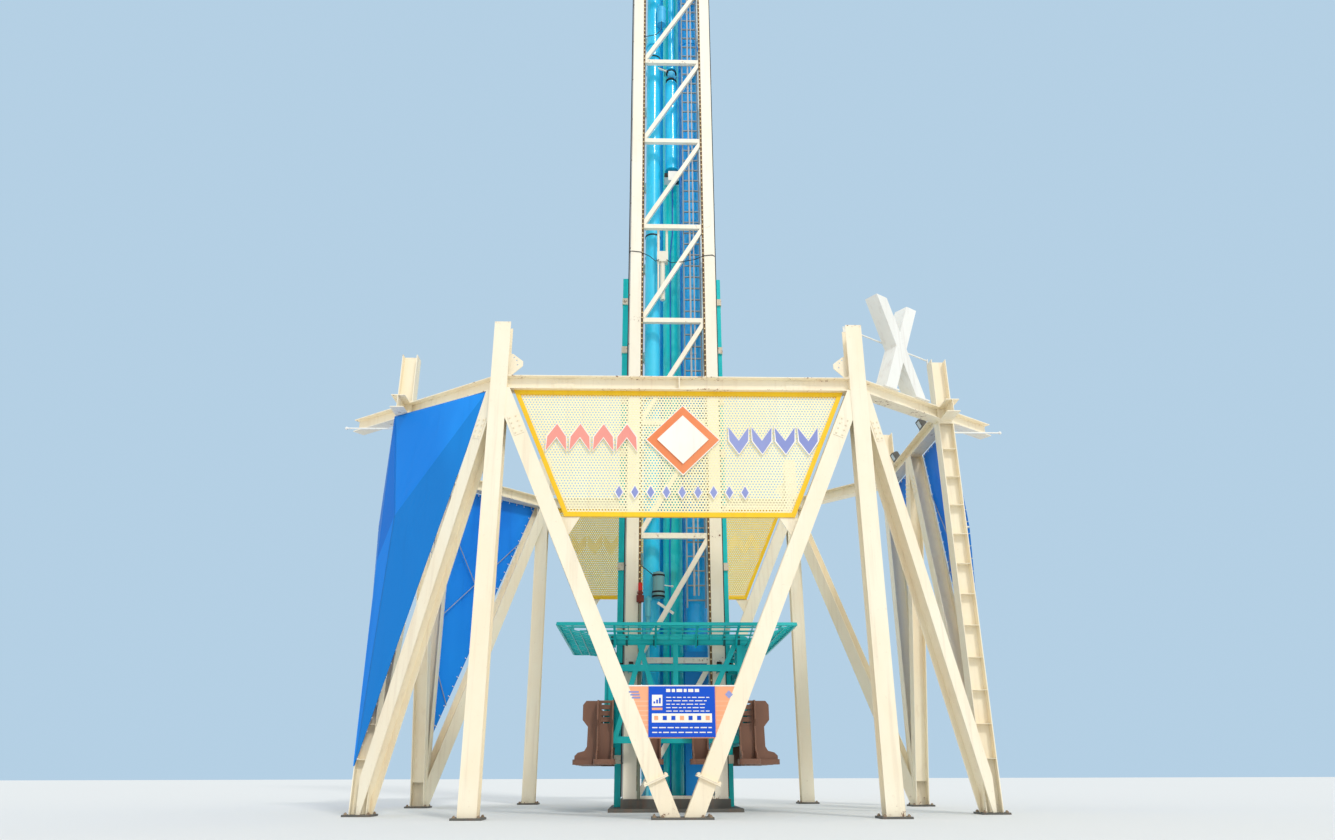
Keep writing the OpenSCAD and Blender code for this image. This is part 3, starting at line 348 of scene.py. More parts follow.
paintedNodes = {
    "mastCream": ["mast_legs", "mast_head", *each("mast_%s_lattice")],
    "clampCream": ["left_clamp_rail", "right_clamp_rail"],
    "frameCream": ["end_posts", "side_posts", "front_braces", "back_braces", "corner_braces",
                   "side_braces"],
    "ringCream": ["front_ring_beam", "back_ring_beam", "side_ring_beams", "corner_ring_beams"],
    "whitePaint": ["crossed_beams", "frame_rods"],
    "teal": ["wheel_brackets", *each("carriage_%s"), *each("canopy_%s")],
    "tubeTeal": ["guide_tubes"],
    "columnTeal": ["centre_column"],
    "cylinderBlue": ["left_air_cylinders", "upper_air_tank", "upper_pipe"],
    "cylinderDeep": ["right_air_cylinders"],
    "cabinetBlue": ["control_cabinet"],
    "darkSteel": ["mast_base", "foot_plates", "floodlights"],
    "ladderGrey": ["ladder"],
    "fittingGreen": ["mast_fittings"],
    "signYellow": ["front_sign_frame", "back_sign_frame"],
    "boardSalmon": ["notice_board"],
    "panelBlue": ["notice_panel"],
    "seatBrown": each("%s_seats"),
    "rubber": ["guide_wheels"],
    "galvanised": ["membrane_struts"],
}


# 1 at the joints, 0 between them
def jointMask(tree, height, s):
    mask = 0.0
    if "repeat" in s:
        first, pitch, reach = s["repeat"]
        turns = mathNode(tree, "DIVIDE", mathNode(tree, "SUBTRACT", height, first), pitch)
        off = mathNode(tree, "PINGPONG", turns, 0.5)
        mask = ramp(tree, off, 0.0, reach / pitch, (1.0, 0.0))
    for centre, reach in s.get("bands", []):
        off = mathNode(tree, "ABSOLUTE", mathNode(tree, "SUBTRACT", height, centre))
        mask = mathNode(tree, "MAXIMUM", mask, ramp(tree, off, 0.0, reach, (1.0, 0.0)))
    return mask


# 1 on the pale lines between two heights
def stripeMask(tree, height, low, high, pitch):
    turns = mathNode(tree, "PINGPONG", mathNode(tree, "DIVIDE", height, pitch), 0.5)
    inside = times(tree, mathNode(tree, "GREATER_THAN", height, low),
                   mathNode(tree, "LESS_THAN", height, high))
    return times(tree, ramp(tree, turns, *paintwork["stripe"], (1.0, 0.0)), inside)


# Colour by height: the first one, then each from its own height up
def steps(tree, height, colour, levels):
    for low, other in levels:
        colour = mixColour(tree, mathNode(tree, "GREATER_THAN", height, low), colour, other)
    return colour


def makePainted(name, s):
    material, tree, shader = newMaterial(name)
    coords = addNode(tree, "ShaderNodeTexCoord").outputs["Object"]
    x, y, z = addNode(tree, "ShaderNodeSeparateXYZ", {"Vector": coords}).outputs
    base = steps(tree, z, s["paint"], s.get("levels", []))
    faded = steps(tree, z, s["faded"], s.get("levels", []))
    if "beyond" in s:
        edge, first, levels = s["beyond"]
        other = steps(tree, z, first, levels)
        beyond = mathNode(tree, "LESS_THAN", x, edge)
        base = mixColour(tree, beyond, base, other)
        faded = mixColour(tree, beyond, faded, other)
    if "stripes" in s:
        *limits, line = s["stripes"]
        base = mixColour(tree, stripeMask(tree, z, *limits), base, line)
    out = addNode(tree, "ShaderNodeGroup", node_tree=weather)
    for socket, value in (("Coords", coords), ("Paint", base), ("Faded", faded),
                          ("Rust", paintwork["rust"]), ("Joint", jointMask(tree, z, s)),
                          ("Wear", s["wear"]), ("Dirt", s["dirt"]), ("Gloss", s["gloss"])):
        if isinstance(value, bpy.types.NodeSocket):
            tree.links.new(value, out.inputs[socket])
        else:
            out.inputs[socket].default_value = value
    tree.links.new(out.outputs["Color"], shader.inputs["Base Color"])
    tree.links.new(out.outputs["Roughness"], shader.inputs["Roughness"])
    addBump(tree, shader, out.outputs["Height"], *paintwork["bump"])
    shader.inputs["Metallic"].default_value = s.get("metal", 0.0)
    shader.inputs["Coat Weight"].default_value = s.get("coat", 0.0)
    shader.inputs["Coat Roughness"].default_value = paintwork["coatRoughness"]
    shader.inputs["Specular IOR Level"].default_value = paintwork["specular"]
    return material


finish = {name: makePainted(name, s) for name, s in paints.items()}

for name, nodes in paintedNodes.items():
    for node in nodes:
        cad[node].data.materials.clear()
        cad[node].data.materials.append(finish[name])
print("paints made:", len(finish))


# Shapes that the pieces share

plateEdge = 0.001        # bevel of the small plates

# Washer, nut and the bolt's end: sides, then radius, foot and head in nut radii
nutParts = ((12, 1.35, 0, 0.2), (6, 1.0, 0.2, 0.95), (8, 0.52, 0.95, 1.4))


def vertsOf(geom):
    return [g for g in geom if isinstance(g, bmesh.types.BMVert)]


# Places of a row about its middle
def rowOf(count, pitch):
    return [(n - (count - 1) / 2) * pitch for n in range(count)]


# Heights from the first one up, below the top
def climb(first, pitch, top):
    return [first + n * pitch for n in range(math.ceil((top - first) / pitch))]


def addBlock(bm, at, size):
    return bmesh.ops.create_cube(bm, size=1, matrix=at @ Matrix.Diagonal((*size, 1)))["verts"]


def addBox(bm, low, high):
    low, high = Vector(low), Vector(high)
    addBlock(bm, Matrix.Translation((low + high) / 2), high - low)


def addPlate(bm, at, size):
    edges = list({e for v in addBlock(bm, at, size) for e in v.link_edges})
    bmesh.ops.bevel(bm, geom=edges, offset=plateEdge, affect="EDGES", segments=1, profile=0.5,
                    material=-1)


def addCylinder(bm, at, radius, depth, segments, caps=True):
    bmesh.ops.create_cone(bm, cap_ends=caps, segments=segments, radius1=radius, radius2=radius,
                          depth=depth, matrix=at)


def addRod(bm, start, end, radius, segments=10):
    start, end = Vector(start), Vector(end)
    along = end - start
    turn = along.to_track_quat("Z", "Y").to_matrix().to_4x4()
    addCylinder(bm, Matrix.Translation((start + end) / 2) @ turn, radius, along.length, segments)


def addBall(bm, centre, radius):
    bmesh.ops.create_icosphere(bm, subdivisions=2, radius=radius, matrix=Matrix.Translation(centre))


def addNut(bm, at, radius):
    for segments, wide, low, high in nutParts:
        middle = Matrix.Translation((0, 0, radius * (low + high) / 2))
        addCylinder(bm, at @ middle, radius * wide, radius * (high - low), segments)


# Prism from corners in a plane of constant y
def addPrism(bm, corners, y, move):
    face = bm.faces.new([bm.verts.new((x, y, z)) for x, z in corners])
    lifted = bmesh.ops.extrude_face_region(bm, geom=[face])["geom"]
    bmesh.ops.translate(bm, verts=vertsOf(lifted), vec=(0, move, 0))
    return next(g for g in lifted if isinstance(g, bmesh.types.BMFace))


# Matrix with Z along out and Y along the piece
def facing(centre, along, out):
    along, out = Vector(along).normalized(), Vector(out).normalized()
    turn = Matrix((along.cross(out), along, out)).transposed().to_4x4()
    return Matrix.Translation(centre) @ turn


# Level direction at right angles to along, on the side of towards
def across(along, towards):
    out = Vector((along.y, -along.x, 0)).normalized()
    return -out if out.dot(towards) < 0 else out


# Gives the faces from a number on another of the piece's finishes
def colourFrom(bm, first, colour):
    bm.faces.ensure_lookup_table()
    for face in bm.faces[first:]:
        face.material_index = colour


def addPiece(made, body="tower"):
    addToScene(made)
    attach(made, body)
    return made


def finishPiece(name, bm, surfaces, body="tower", smooth=False):
    mesh = bpy.data.meshes.new(name)
    bm.to_mesh(mesh)
    bm.free()
    for surface in surfaces:
        mesh.materials.append(finish[surface])
    if smooth:
        mesh.shade_smooth()
    return addPiece(bpy.data.objects.new(name, mesh), body)


# Tube through points, held all along its way
def makeTube(name, points, radius, surface):
    curve = bpy.data.curves.new(name, "CURVE")
    curve.dimensions = "3D"
    curve.bevel_depth = radius
    curve.bevel_resolution = 2
    curve.use_fill_caps = True
    line = curve.splines.new("POLY")
    line.points.add(len(points) - 1)
    for point, place in zip(line.points, points):
        point.co = (*place, 1)
    curve.materials.append(finish[surface])
    addPiece(bpy.data.objects.new(name, curve))


# Perforated sign sheets

perforation = {
    "pitch": 0.027,        # between the holes of a row
    "row": 0.024,          # between the rows
    "radius": 0.0077,
    "web": 0.004,
    "thickness": 0.003,
    # The inner side's yellow is painted light shining through the sheet
    "finishes": ["sheetCream", "sheetInnerPaintedBacklight"],      # outer and inner side
}


def signCorners(node, near=0.001):
    low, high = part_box(node)
    corners = [v.co for v in cad[node].data.vertices]
    top = max(c.x for c in corners if c.z > high.z - near)
    bottom = max(c.x for c in corners if c.z < low.z + near)
    return low, high, top, bottom


# Turns each cell's opening into a ring of eight points
def roundHoles(bm, cells, s):
    tag = bm.verts.layers.int.new("hole")
    centres = [cell.calc_center_median() for cell in cells]

    def turnOf(vert, centre):
        return math.atan2(vert.co.z - centre.z, vert.co.x - centre.x)

    for n, cell in enumerate(cells):
        for vert in cell.verts:
            vert[tag] = n + 1
    edges = list({e for cell in cells for e in cell.edges})
    bmesh.ops.delete(bm, geom=cells, context="FACES_ONLY")
    bmesh.ops.subdivide_edges(bm, edges=edges, cuts=1)
    rims = [[] for centre in centres]
    for vert in bm.verts:
        ends = {e.other_vert(vert)[tag] for e in vert.link_edges}
        if vert[tag] or (len(vert.link_edges) == 2 and ends != {0}):
            rims[(vert[tag] or max(ends)) - 1].append(vert)
    for centre, rim in zip(centres, rims):
        rim.sort(key=lambda v: turnOf(v, centre))
        first = turnOf(rim[0], centre)
        for n, vert in enumerate(rim):
            turn = first + math.tau * n / len(rim)
            vert.co = centre + s["radius"] * Vector((math.cos(turn), 0, math.sin(turn)))
    bm.verts.layers.int.remove(tag)


def makeSignSheet(name, node, s):
    low, high, top, bottom = signCorners(node)
    rows = math.ceil((high.z - low.z) / s["row"])
    columns = math.ceil(2 * top / s["pitch"]) + rows // 2 + 2
    bm = bmesh.new()
    bmesh.ops.create_grid(bm, x_segments=columns, y_segments=rows, size=0.5)
    lean = Matrix.Identity(4)
    lean[0][1] = s["pitch"] / s["row"] / 2       # each row half a pitch on
    wide = Matrix.Diagonal((columns * s["pitch"], rows * s["row"], 1, 1))
    middle = Matrix.Translation((low + high) / 2)
    bm.transform(middle @ Matrix.Rotation(math.radians(90), 4, "X") @ lean @ wide)

    def isOutside(face):
        centre = face.calc_center_median()
        half = bottom + (top - bottom) * (centre.z - low.z) / (high.z - low.z)
        return abs(centre.x) > half + s["pitch"]

    bmesh.ops.delete(bm, geom=[f for f in bm.faces if isOutside(f)], context="FACES")
    bm.faces.index_update()
    cells = bm.faces[:]
    bmesh.ops.inset_individual(bm, faces=cells, thickness=s["web"], use_even_offset=True)
    bm.faces.index_update()
    roundHoles(bm, cells, s)
    slope = Vector((high.z - low.z, 0, bottom - top)).normalized()
    for point, normal in (((top, 0, high.z), slope), ((-top, 0, high.z), (-slope.x, 0, slope.z)),
                          (high, (0, 0, 1)), (low, (0, 0, -1))):
        bmesh.ops.bisect_plane(bm, geom=bm.verts[:] + bm.edges[:] + bm.faces[:], plane_co=point,
                               plane_no=normal, clear_outer=True)
    bmesh.ops.solidify(bm, geom=bm.faces[:], thickness=s["thickness"])
    bmesh.ops.recalc_face_normals(bm, faces=bm.faces[:])
    for face in bm.faces:
        # Faces turned inwards take the yellow of painted light through the sheet
        face.material_index = 0 if face.normal.y * math.copysign(1, low.y) > 0.5 else 1
    sheet = finishPiece(name, bm, s["finishes"])
    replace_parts(sheet, node)
    print(name, "holes:", len(cells), "faces:", len(sheet.data.polygons))


makeSignSheet("frontPerforatedSheet", "front_sign_sheet", perforation)
makeSignSheet("backPerforatedSheet", "back_sign_sheet", perforation)


# Raised shapes on the signs

signShapes = {
    "finishes": ["signWhite", "signSalmon", "signLavender", "signOrange"],
    "depth": 0.024,
    "behind": 0.0015,                    # how far the shapes reach into the sheet
    "rim": 0.011,
    "sink": -0.002,
    "chevron": (0.188, 0.275, 0.145),    # width, height, thickness of the arms
    "chevronPitch": 0.209,
    "chevrons": 4,
    "chevronRows": [(-0.785, 2.985, False, 1), (0.845, 2.965, True, 2)],   # middle, foot, turned, finish
    "lozenge": (0.085, 0.135),
    "lozengePitch": 0.138,
    "lozenges": 9,
    "lozengeRow": (0.02, 2.615),
    "diamond": (0.03, 3.105, 0.335),     # middle and half width
    "diamondBorder": 0.105,
    "diamondRise": 0.012,
}


def addRaised(bm, corners, y, s, colour, rise=0):
    cap = addPrism(bm, corners, y, -s["depth"] - rise)
    bmesh.ops.inset_individual(bm, faces=[cap], thickness=s["rim"], depth=s["sink"])
    cap.material_index = colour


def makeSignShapes(name, turned, s):
    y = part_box("front_sign_sheet")[0].y + s["behind"]
    bm = bmesh.new()
    wide, high, arm = s["chevron"]
    chevron = [(-wide / 2, 0), (0, high - arm), (wide / 2, 0), (wide / 2, arm), (0, high),
               (-wide / 2, arm)]
    for middle, foot, flip, colour in s["chevronRows"]:
        for off in rowOf(s["chevrons"], s["chevronPitch"]):
            points = [(middle + off + u, foot + (high - v if flip else v)) for u, v in chevron]
            addRaised(bm, points[::-1] if flip else points, y, s, colour)

    def addRhomb(x, z, a, b, colour, rise=0):
        addRaised(bm, [(x, z - b), (x + a, z), (x, z + b), (x - a, z)], y, s, colour, rise)

    wide, high = s["lozenge"]
    middle, height = s["lozengeRow"]
    for off in rowOf(s["lozenges"], s["lozengePitch"]):
        addRhomb(middle + off, height, wide / 2, high / 2, 2)
    x, z, half = s["diamond"]
    addRhomb(x, z, half, half, 3)
    inner = half - s["diamondBorder"]
    addRhomb(x, z, inner, inner, 0, s["diamondRise"])
    bmesh.ops.recalc_face_normals(bm, faces=bm.faces[:])
    if turned:
        bm.transform(Matrix.Rotation(math.pi, 4, "Z"))
    finishPiece(name, bm, s["finishes"])


makeSignShapes("frontSignShapes", False, signShapes)
makeSignShapes("backSignShapes", True, signShapes)
print("signs made")


# Notice board: plain bars and blocks in place of print

notice = {
    "finishes": ["signWhite", "panelBlue", "boardSalmon", "signLavender"],
    "proud": 0.0012,
    "dash": (0.02, 0.06),                  # shortest and longest
    "dashGap": 0.012,
    "title": (-0.125, 0.15, 0.945, 0.024),
    "lines": [0.892, 0.866, 0.840, 0.814, 0.788],
    "lineHeight": 0.0065,
    "lineSpan": (-0.125, 0.235),
    "lineRag": 0.05,                       # how much shorter a line may be
    "flats": [                             # left, right, foot, head, finish and how proud
        (-0.238, -0.155, 0.826, 0.912, 0, 1),      # block with three bars and a line below
        (-0.226, -0.212, 0.846, 0.861, 1, 2),
        (-0.204, -0.190, 0.846, 0.875, 1, 2),
        (-0.182, -0.168, 0.846, 0.889, 1, 2),
        (-0.238, -0.155, 0.796, 0.814, 2, 1),
        (-0.238, 0.238, 0.702, 0.770, 0, 1)],      # band
    "marks": (7, 0.068, 0.016, 0.720, 0.752),      # on the band: count, pitch, half width, foot, head
    "dashRows": [0.664, 0.628],
    "dashRowHeight": 0.008,
    "dashRowHalf": 0.235,
    "edge": (0.008, 0.003, 0.002),         # pale strip on the board's head: drop, front, rise
    "tagLines": [(-0.423, -0.343, 0.05), (-0.411, -0.337, 0.072), (-0.399, -0.331, 0.094)],
    "tagHalf": 0.006,                      # half height of the lines beside the panel
    "square": (0.378, 0.07, 0.045),        # place across, drop and side
}


def addFlat(bm, s, left, right, foot, head, colour, lift=1):
    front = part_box("notice_panel")[0].y
    before = len(bm.faces)
    addBox(bm, (left, front - s["proud"] * lift, foot), (right, front, head))
    colourFrom(bm, before, colour)


def addDashes(bm, s, left, right, middle, height):
    least, most = s["dash"]
    x = left
    while x < right - least:
        length = min(rng.uniform(least, most), right - x)
        addFlat(bm, s, x, x + length, middle - height / 2, middle + height / 2, 0)
        x += length + s["dashGap"]


def makeNotice(s):
    bm = bmesh.new()
    addDashes(bm, s, *s["title"])
    left, right = s["lineSpan"]
    for middle in s["lines"]:
        addDashes(bm, s, left, right - rng.uniform(0, s["lineRag"]), middle, s["lineHeight"])
    for flat in s["flats"]:
        addFlat(bm, s, *flat)
    count, pitch, half, foot, head = s["marks"]
    for n, x in enumerate(rowOf(count, pitch)):
        addFlat(bm, s, x - half, x + half, foot, head, 1 if n % 3 else 2, 2)
    for middle in s["dashRows"]:
        addDashes(bm, s, -s["dashRowHalf"], s["dashRowHalf"], middle, s["dashRowHeight"])
    low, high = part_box("notice_board")
    drop, front, rise = s["edge"]
    addBox(bm, (low.x, low.y - front, high.z - drop), (high.x, low.y, high.z + rise))
    tags = len(bm.faces)
    half = s["tagHalf"]
    for left, right, drop in s["tagLines"]:
        z = high.z - drop
        addBox(bm, (left, low.y - s["proud"], z - half), (right, low.y, z + half))
    x, drop, side = s["square"]
    at = Matrix.Translation((x, low.y, high.z - drop))
    addBlock(bm, at @ Matrix.Rotation(math.radians(45), 4, "Y"), (side, 2 * s["proud"], side))
    colourFrom(bm, tags, 3)
    finishPiece("noticeMarks", bm, s["finishes"])


makeNotice(notice)


# Tent panels: each sheet is pulled over its crease, with small folds that run from the strut

tents = {
    "corner_membranes": ("cornerTentBack", "cornerTentFront"),
    "left_membranes": ("leftTentBack", "leftTentFront"),
    "right_membranes": ("rightTentBack", "rightTentFront"),
}

tentPaints = {      # deep, pale and stained colour
    "tentOuter": (paint(0, 128, 226), paint(16, 146, 244), paint(0, 96, 186)),
    # Lower facets: a deeper blue than the upper ones, painted shade
    "tentLowerPaintedShade": (paint(0, 122, 206), paint(4, 134, 222), paint(0, 100, 176)),
    # Upper facets of the wraps round the posts: a darker blue, painted shade
    "tentWrapPaintedShade": (paint(0, 110, 206), paint(2, 122, 222), paint(0, 88, 172)),
    # Inner side: a brighter blue, painted light shining through the cloth
    "tentInnerPaintedBacklight": (paint(2, 122, 236), paint(24, 148, 254), paint(2, 92, 196)),
}

tentLook = {
    "fade": ((1, 1, 0.35), 1.1, 3),      # stretch, scale and detail of the noise
    "fadeLimits": (0.35, 0.7),
    "stains": ((1, 1, 0.08), 9, 5),
    "stainLimits": (0.55, 0.78),
    "stainShare": 0.28,
    "weave": (even, 420, 1),
    "weaveShare": 0.12,
    "ripples": ((1, 1, 0.5), 13, 2),
    "bump": (0.35, 0.004),
    "roughness": (0.42, 0.55),
    "specular": 0.25,
}

cloth = {
    "leastFacet": 0.1,       # square metres, so that only the outer facets are taken
    "weld": 0.00001,
    "near": 0.0001,
    "cuts": 41,
    "fold": 0.0045,
    "foldNoise": (9, 0.9),   # round the strut's end, and along the fold
    "hub": 0.05,
    "ripple": 5.5,
    "foldShares": (0.55, 0.75, 0.3),
    "edge": 0.09,            # the folds fade out this near the edges
    "thickness": 0.003,
    "lacePitch": 0.115,
    "laceIn": 0.022,
    "laceOut": 0.006,
    "laceRadius": 0.0028,
    "laceBehind": 0.002,
    "eyelet": (0.3, -0.2, 2.6),      # from and to behind the cloth, and radius in lace radii
    "stayRadius": 0.0045,
    "stayBehind": 0.012,
    "stays": [(0.06, 0.45), (0.52, 0.16), (0.56, 0.78)],     # shares of the way down to the foot
}


def makeTentCloth(name, colours, s):
    deep, pale, stain = colours
    material, tree, shader = newMaterial(name)
    coords = addNode(tree, "ShaderNodeTexCoord").outputs["Object"]
    fade = ramp(tree, noiseAt(tree, coords, *s["fade"]), *s["fadeLimits"])
    stains = ramp(tree, noiseAt(tree, coords, *s["stains"]), *s["stainLimits"])
    colour = mixColour(tree, times(tree, stains, s["stainShare"]), mixColour(tree, fade, deep, pale), stain)
    tree.links.new(colour, shader.inputs["Base Color"])
    weave = times(tree, noiseAt(tree, coords, *s["weave"]), s["weaveShare"])
    height = mathNode(tree, "ADD", weave, noiseAt(tree, coords, *s["ripples"]))
    addBump(tree, shader, height, *s["bump"])
    smooth, rough = s["roughness"]
    rough = addNode(tree, "ShaderNodeMapRange", {"Value": fade, "To Min": smooth, "To Max": rough})
    tree.links.new(rough.outputs[0], shader.inputs["Roughness"])
    shader.inputs["Specular IOR Level"].default_value = s["specular"]
    return material


finish.update({name: makeTentCloth(name, colours, tentLook) for name, colours in tentPaints.items()})


# Crease ends, then the other two corners of a panel, from the outer facets of its solid
def panelCorners(node, s):
    bm = bmesh.new()
    bm.from_mesh(cad[node].data)
    bmesh.ops.remove_doubles(bm, verts=bm.verts, dist=s["weld"])
    bm.normal_update()
    facets = []
    for face in bm.faces:
        centre = face.calc_center_median()
        if face.calc_area() > s["leastFacet"] and face.normal.dot((centre.x, centre.y, 0)) > 0:
            facets.append(face)
    panels = []
    for crease in bm.edges:
        pair = [f for f in crease.link_faces if f in facets]
        if len(pair) == 2:
            apex, head = sorted((v.co.copy() for v in crease.verts), key=lambda c: c.z)
            free = [v.co.copy() for f in pair for v in f.verts if v not in crease.verts]
            foot, top = sorted(free, key=lambda c: c.z)
            panels.append((apex, head, foot, top))
    bm.free()
    return sorted(panels, key=lambda p: -p[0].y)


def nearestEdge(point, loop):
    gaps = []
    for a, b in zip(loop, loop[1:] + loop[:1]):
        along = min(max((point - a).dot(b - a) / (b - a).length_squared, 0), 1)
        gaps.append((point - a.lerp(b, along)).length)
    return min(gaps)


def finishCloth(name, bm, outside, smooth, flat, area):
    # The inner side and the rims take the brighter blue of painted light through the cloth
    sheet = finishPiece(name, bm, [*outside, "tentInnerPaintedBacklight", "tentInnerPaintedBacklight"], smooth=smooth)
    skin = sheet.modifiers.new("skin", "SOLIDIFY")
    skin.thickness = cloth["thickness"]
    skin.offset = -1
    skin.material_offset = len(outside)
    print(name, "area", round(area, 3), "flat", [round(side, 3) for side in flat])
    return sheet


def makeTent(name, node, corners, s):
    apex, head, foot, top = corners
    bm = bmesh.new()
    a, h, f, t = (bm.verts.new(c) for c in corners)
    upper = bm.faces.new((h, t, a))
    lower = bm.faces.new((h, a, f))
    bm.normal_update()
    if upper.normal.dot((apex.x, apex.y, 0)) < 0:
        bmesh.ops.reverse_faces(bm, faces=[upper, lower])
    area = upper.calc_area() + lower.calc_area()
    # The lower facet takes a deeper blue, painted shade
    lower.material_index = 1
    bmesh.ops.subdivide_edges(bm, edges=bm.edges[:], cuts=s["cuts"], use_grid_fill=True)
    bm.normal_update()
    for edge in bm.edges:
        edge.smooth = not all(nearestEdge(v.co, [apex, head]) < s["near"] for v in edge.verts)
    loop = [head, top, apex, foot]
    around, along = s["foldNoise"]
    least, folded, rippled = s["foldShares"]
    shift = {}
    for vert in bm.verts:
        fade = min(nearestEdge(vert.co, loop) / s["edge"], 1)
        arm = vert.co - apex
        turn = math.atan2(arm.z, math.hypot(arm.x, arm.y) + s["hub"])
        folds = noise(Vector((turn * around, arm.length * along, apex.y)))
        size = s["fold"] * (least + folded * folds + rippled * noise(vert.co * s["ripple"]))
        shift[vert] = vert.normal * max(size, 0) * fade * fade * (3 - 2 * fade)
    for vert, move in shift.items():
        vert.co += move
    flat = ((top - head).length, (top - apex).length + (apex - foot).length)
    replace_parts(finishCloth(name, bm, ["tentOuter", "tentLowerPaintedShade"], True, flat, area), node)


def behind(apex, distance):
    return Vector((apex.x, apex.y, 0)).normalized() * -distance


def makeLacing(name, corners, s):
    apex, head, foot, top = corners
    bm = bmesh.new()
    back = behind(apex, s["thickness"] + s["laceBehind"])
    middle = (apex + head + foot + top) / 4
    low, high, wide = s["eyelet"]
    for start, end in ((head, top), (top, apex), (apex, foot), (foot, head)):
        count = max(int((end - start).length / s["lacePitch"]), 2)
        side = (middle - (start + end) / 2)
        side -= side.project(end - start)
        side.normalize()
        for n in range(count):
            edge = start.lerp(end, (n + 0.5) / count)
            inside = edge + side * s["laceIn"] + back
            addRod(bm, inside, edge - side * s["laceOut"] + back, s["laceRadius"], 6)
            addRod(bm, inside + back * low, inside + back * high, s["laceRadius"] * wide)
    finishPiece(name, bm, ["signWhite"])


def makeStays(name, corners, s):
    apex, head, foot, top = corners
    back = behind(apex, s["stayBehind"])
    bm = bmesh.new()
    for start, end in s["stays"]:
        addRod(bm, top.lerp(foot, start) + back, head.lerp(foot, end) + back, s["stayRadius"], 8)
    finishPiece(name, bm, ["greyConduit"])


# The sheets of the left corners reach round the posts: their edges there bow in at the strut

frameX, frameY = 1.64, 1.95                # middle of the end posts
sideX, sideY = 2.675, (-1.22, 0.88)        # of the side posts

wrap = {
    "near": (-0.01, 0.18),       # along the sheet from the post: at its ends, at the strut
    "off": (0.108, 0.143),       # outwards, likewise
    "corner": 0.080,             # from the post's middle to the sheet round its outer corner
    "bulge": 0.006,
    "bulgeZ": 2.15,
    "lap": 0.02,
    "lift": 0.005,
}


def bowedCorners(corners, post, s):
    apex, head, foot, top = corners
    along = Vector((head.x - top.x, head.y - top.y, 0)).normalized()
    out = across(along, apex - top)

    def at(n, z):
        place = post + along * s["near"][n] + out * s["off"][n]
        return Vector((place.x, place.y, z))

    return at(1, apex.z), head, at(0, foot.z), at(0, top.z)


def makeWrap(name, corners, side, post, s):
    apex, head, foot, top = corners
    far = 1 if post.y > 0 else -1
    c = s["corner"]
    edge = [post + Vector((-c - bulge, far * c, z))
            for bulge, z in ((0, top.z), (s["bulge"], s["bulgeZ"]), (0, foot.z))]
    sideApex, _, sideFoot, sideTop = side
    lap = Vector((-s["lift"], -far * s["lap"], 0))
    back = [sideTop + lap, sideApex + lap, sideFoot + lap]
    bm = bmesh.new()
    rows = [[bm.verts.new(p) for p in line] for line in ([top, apex, foot], edge, back)]
    for line, other in zip(rows, rows[1:]):
        for n in range(2):
            bm.faces.new((line[n], line[n + 1], other[n + 1], other[n]))
    bmesh.ops.triangulate(bm, faces=bm.faces[:])
    for face in bm.faces:
        # Facets above the bulge take the darker blue of painted shade, those below the outer blue
        face.material_index = 0 if face.calc_center_median().z > s["bulgeZ"] else 1
    bm.normal_update()
    if sum(f.normal.x * f.calc_area() for f in bm.faces) > 0:
        bmesh.ops.reverse_faces(bm, faces=bm.faces[:])
    area = sum(f.calc_area() for f in bm.faces)
    tall = (top - foot).length
    finishCloth(name, bm, ["tentWrapPaintedShade", "tentOuter"], False, (area / tall, tall), area)


leftPosts = [Vector((-sideX, y, 0)) for y in reversed(sideY)]
leftPanels = panelCorners("left_membranes", cloth)
cornerPanels = [bowedCorners(corners, post, wrap)
                for corners, post in zip(panelCorners("corner_membranes", cloth), leftPosts)]
for name, corners, side, post in zip(("leftWrapBack", "leftWrapFront"), cornerPanels, leftPanels, leftPosts):
    makeWrap(name, corners, side, post, wrap)

for node, names in tents.items():
    panels = cornerPanels if node == "corner_membranes" else panelCorners(node, cloth)
    for name, corners in zip(names, panels):
        makeTent(name, node, corners, cloth)
        makeLacing(name + "Lacing", corners, cloth)
        makeStays(name + "Stays", corners, cloth)


# Bolts and splice plates of the outer frame

outer = {
    "veeFoot": 0.085,              # middle of the V braces across, at the foot
    "ring": 3.645,                 # height of the ring
    "braceHalf": 0.07,
    "sideMiddle": -0.17,
    "anchorAt": 0.094,
    "anchor": 0.013,
    "veeAnchors": (-0.215, -0.155, 0.155, 0.215),
    "ringSplices": (-1.054, 1.081),
    "spliceDrop": 0.42,
    "webFace": 0.003,
    "middleJoint": (0.005, 0.062, 0.059),      # half width, reach and half height
}

splice = {"width": 0.095, "length": 0.20, "thickness": 0.005, "rows": 4, "nut": 0.0085}
ringSplice = {**splice, "width": 0.09, "length": 0.19, "nut": 0.0080}
nutColumns = 0.3        # place of a splice's nuts across, in widths
collar = {"size": 0.20, "thickness": 0.010, "height": 0.28, "at": 0.087, "nut": 0.0095,
          "spread": 0.55, "seat": 1.04}      # flange middles and nuts, in thicknesses
gusset = {"at": 1.034, "head": 2.394, "foot": 2.235, "wide": 0.170, "slant": 0.074, "thickness": 0.012}


def makeFrameBolts(s):
    bm = bmesh.new()
    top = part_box("foot_plates")[1].z
    off = s["anchorAt"]
    feet = [(sx * frameX, sy * frameY) for sx, sy in quarters]
    feet += [(sx * sideX, y) for sx in sides for y in sideY]
    places = [(x + sx * off, y + sy * off) for x, y in feet for sx, sy in quarters]
    places += [(x, sy * frameY + side * off) for side, sy in quarters for x in s["veeAnchors"]]
    for x, y in places:
        addNut(bm, Matrix.Translation((x, y, top)), s["anchor"])
    finishPiece("anchorBolts", bm, ["boltSteel"])


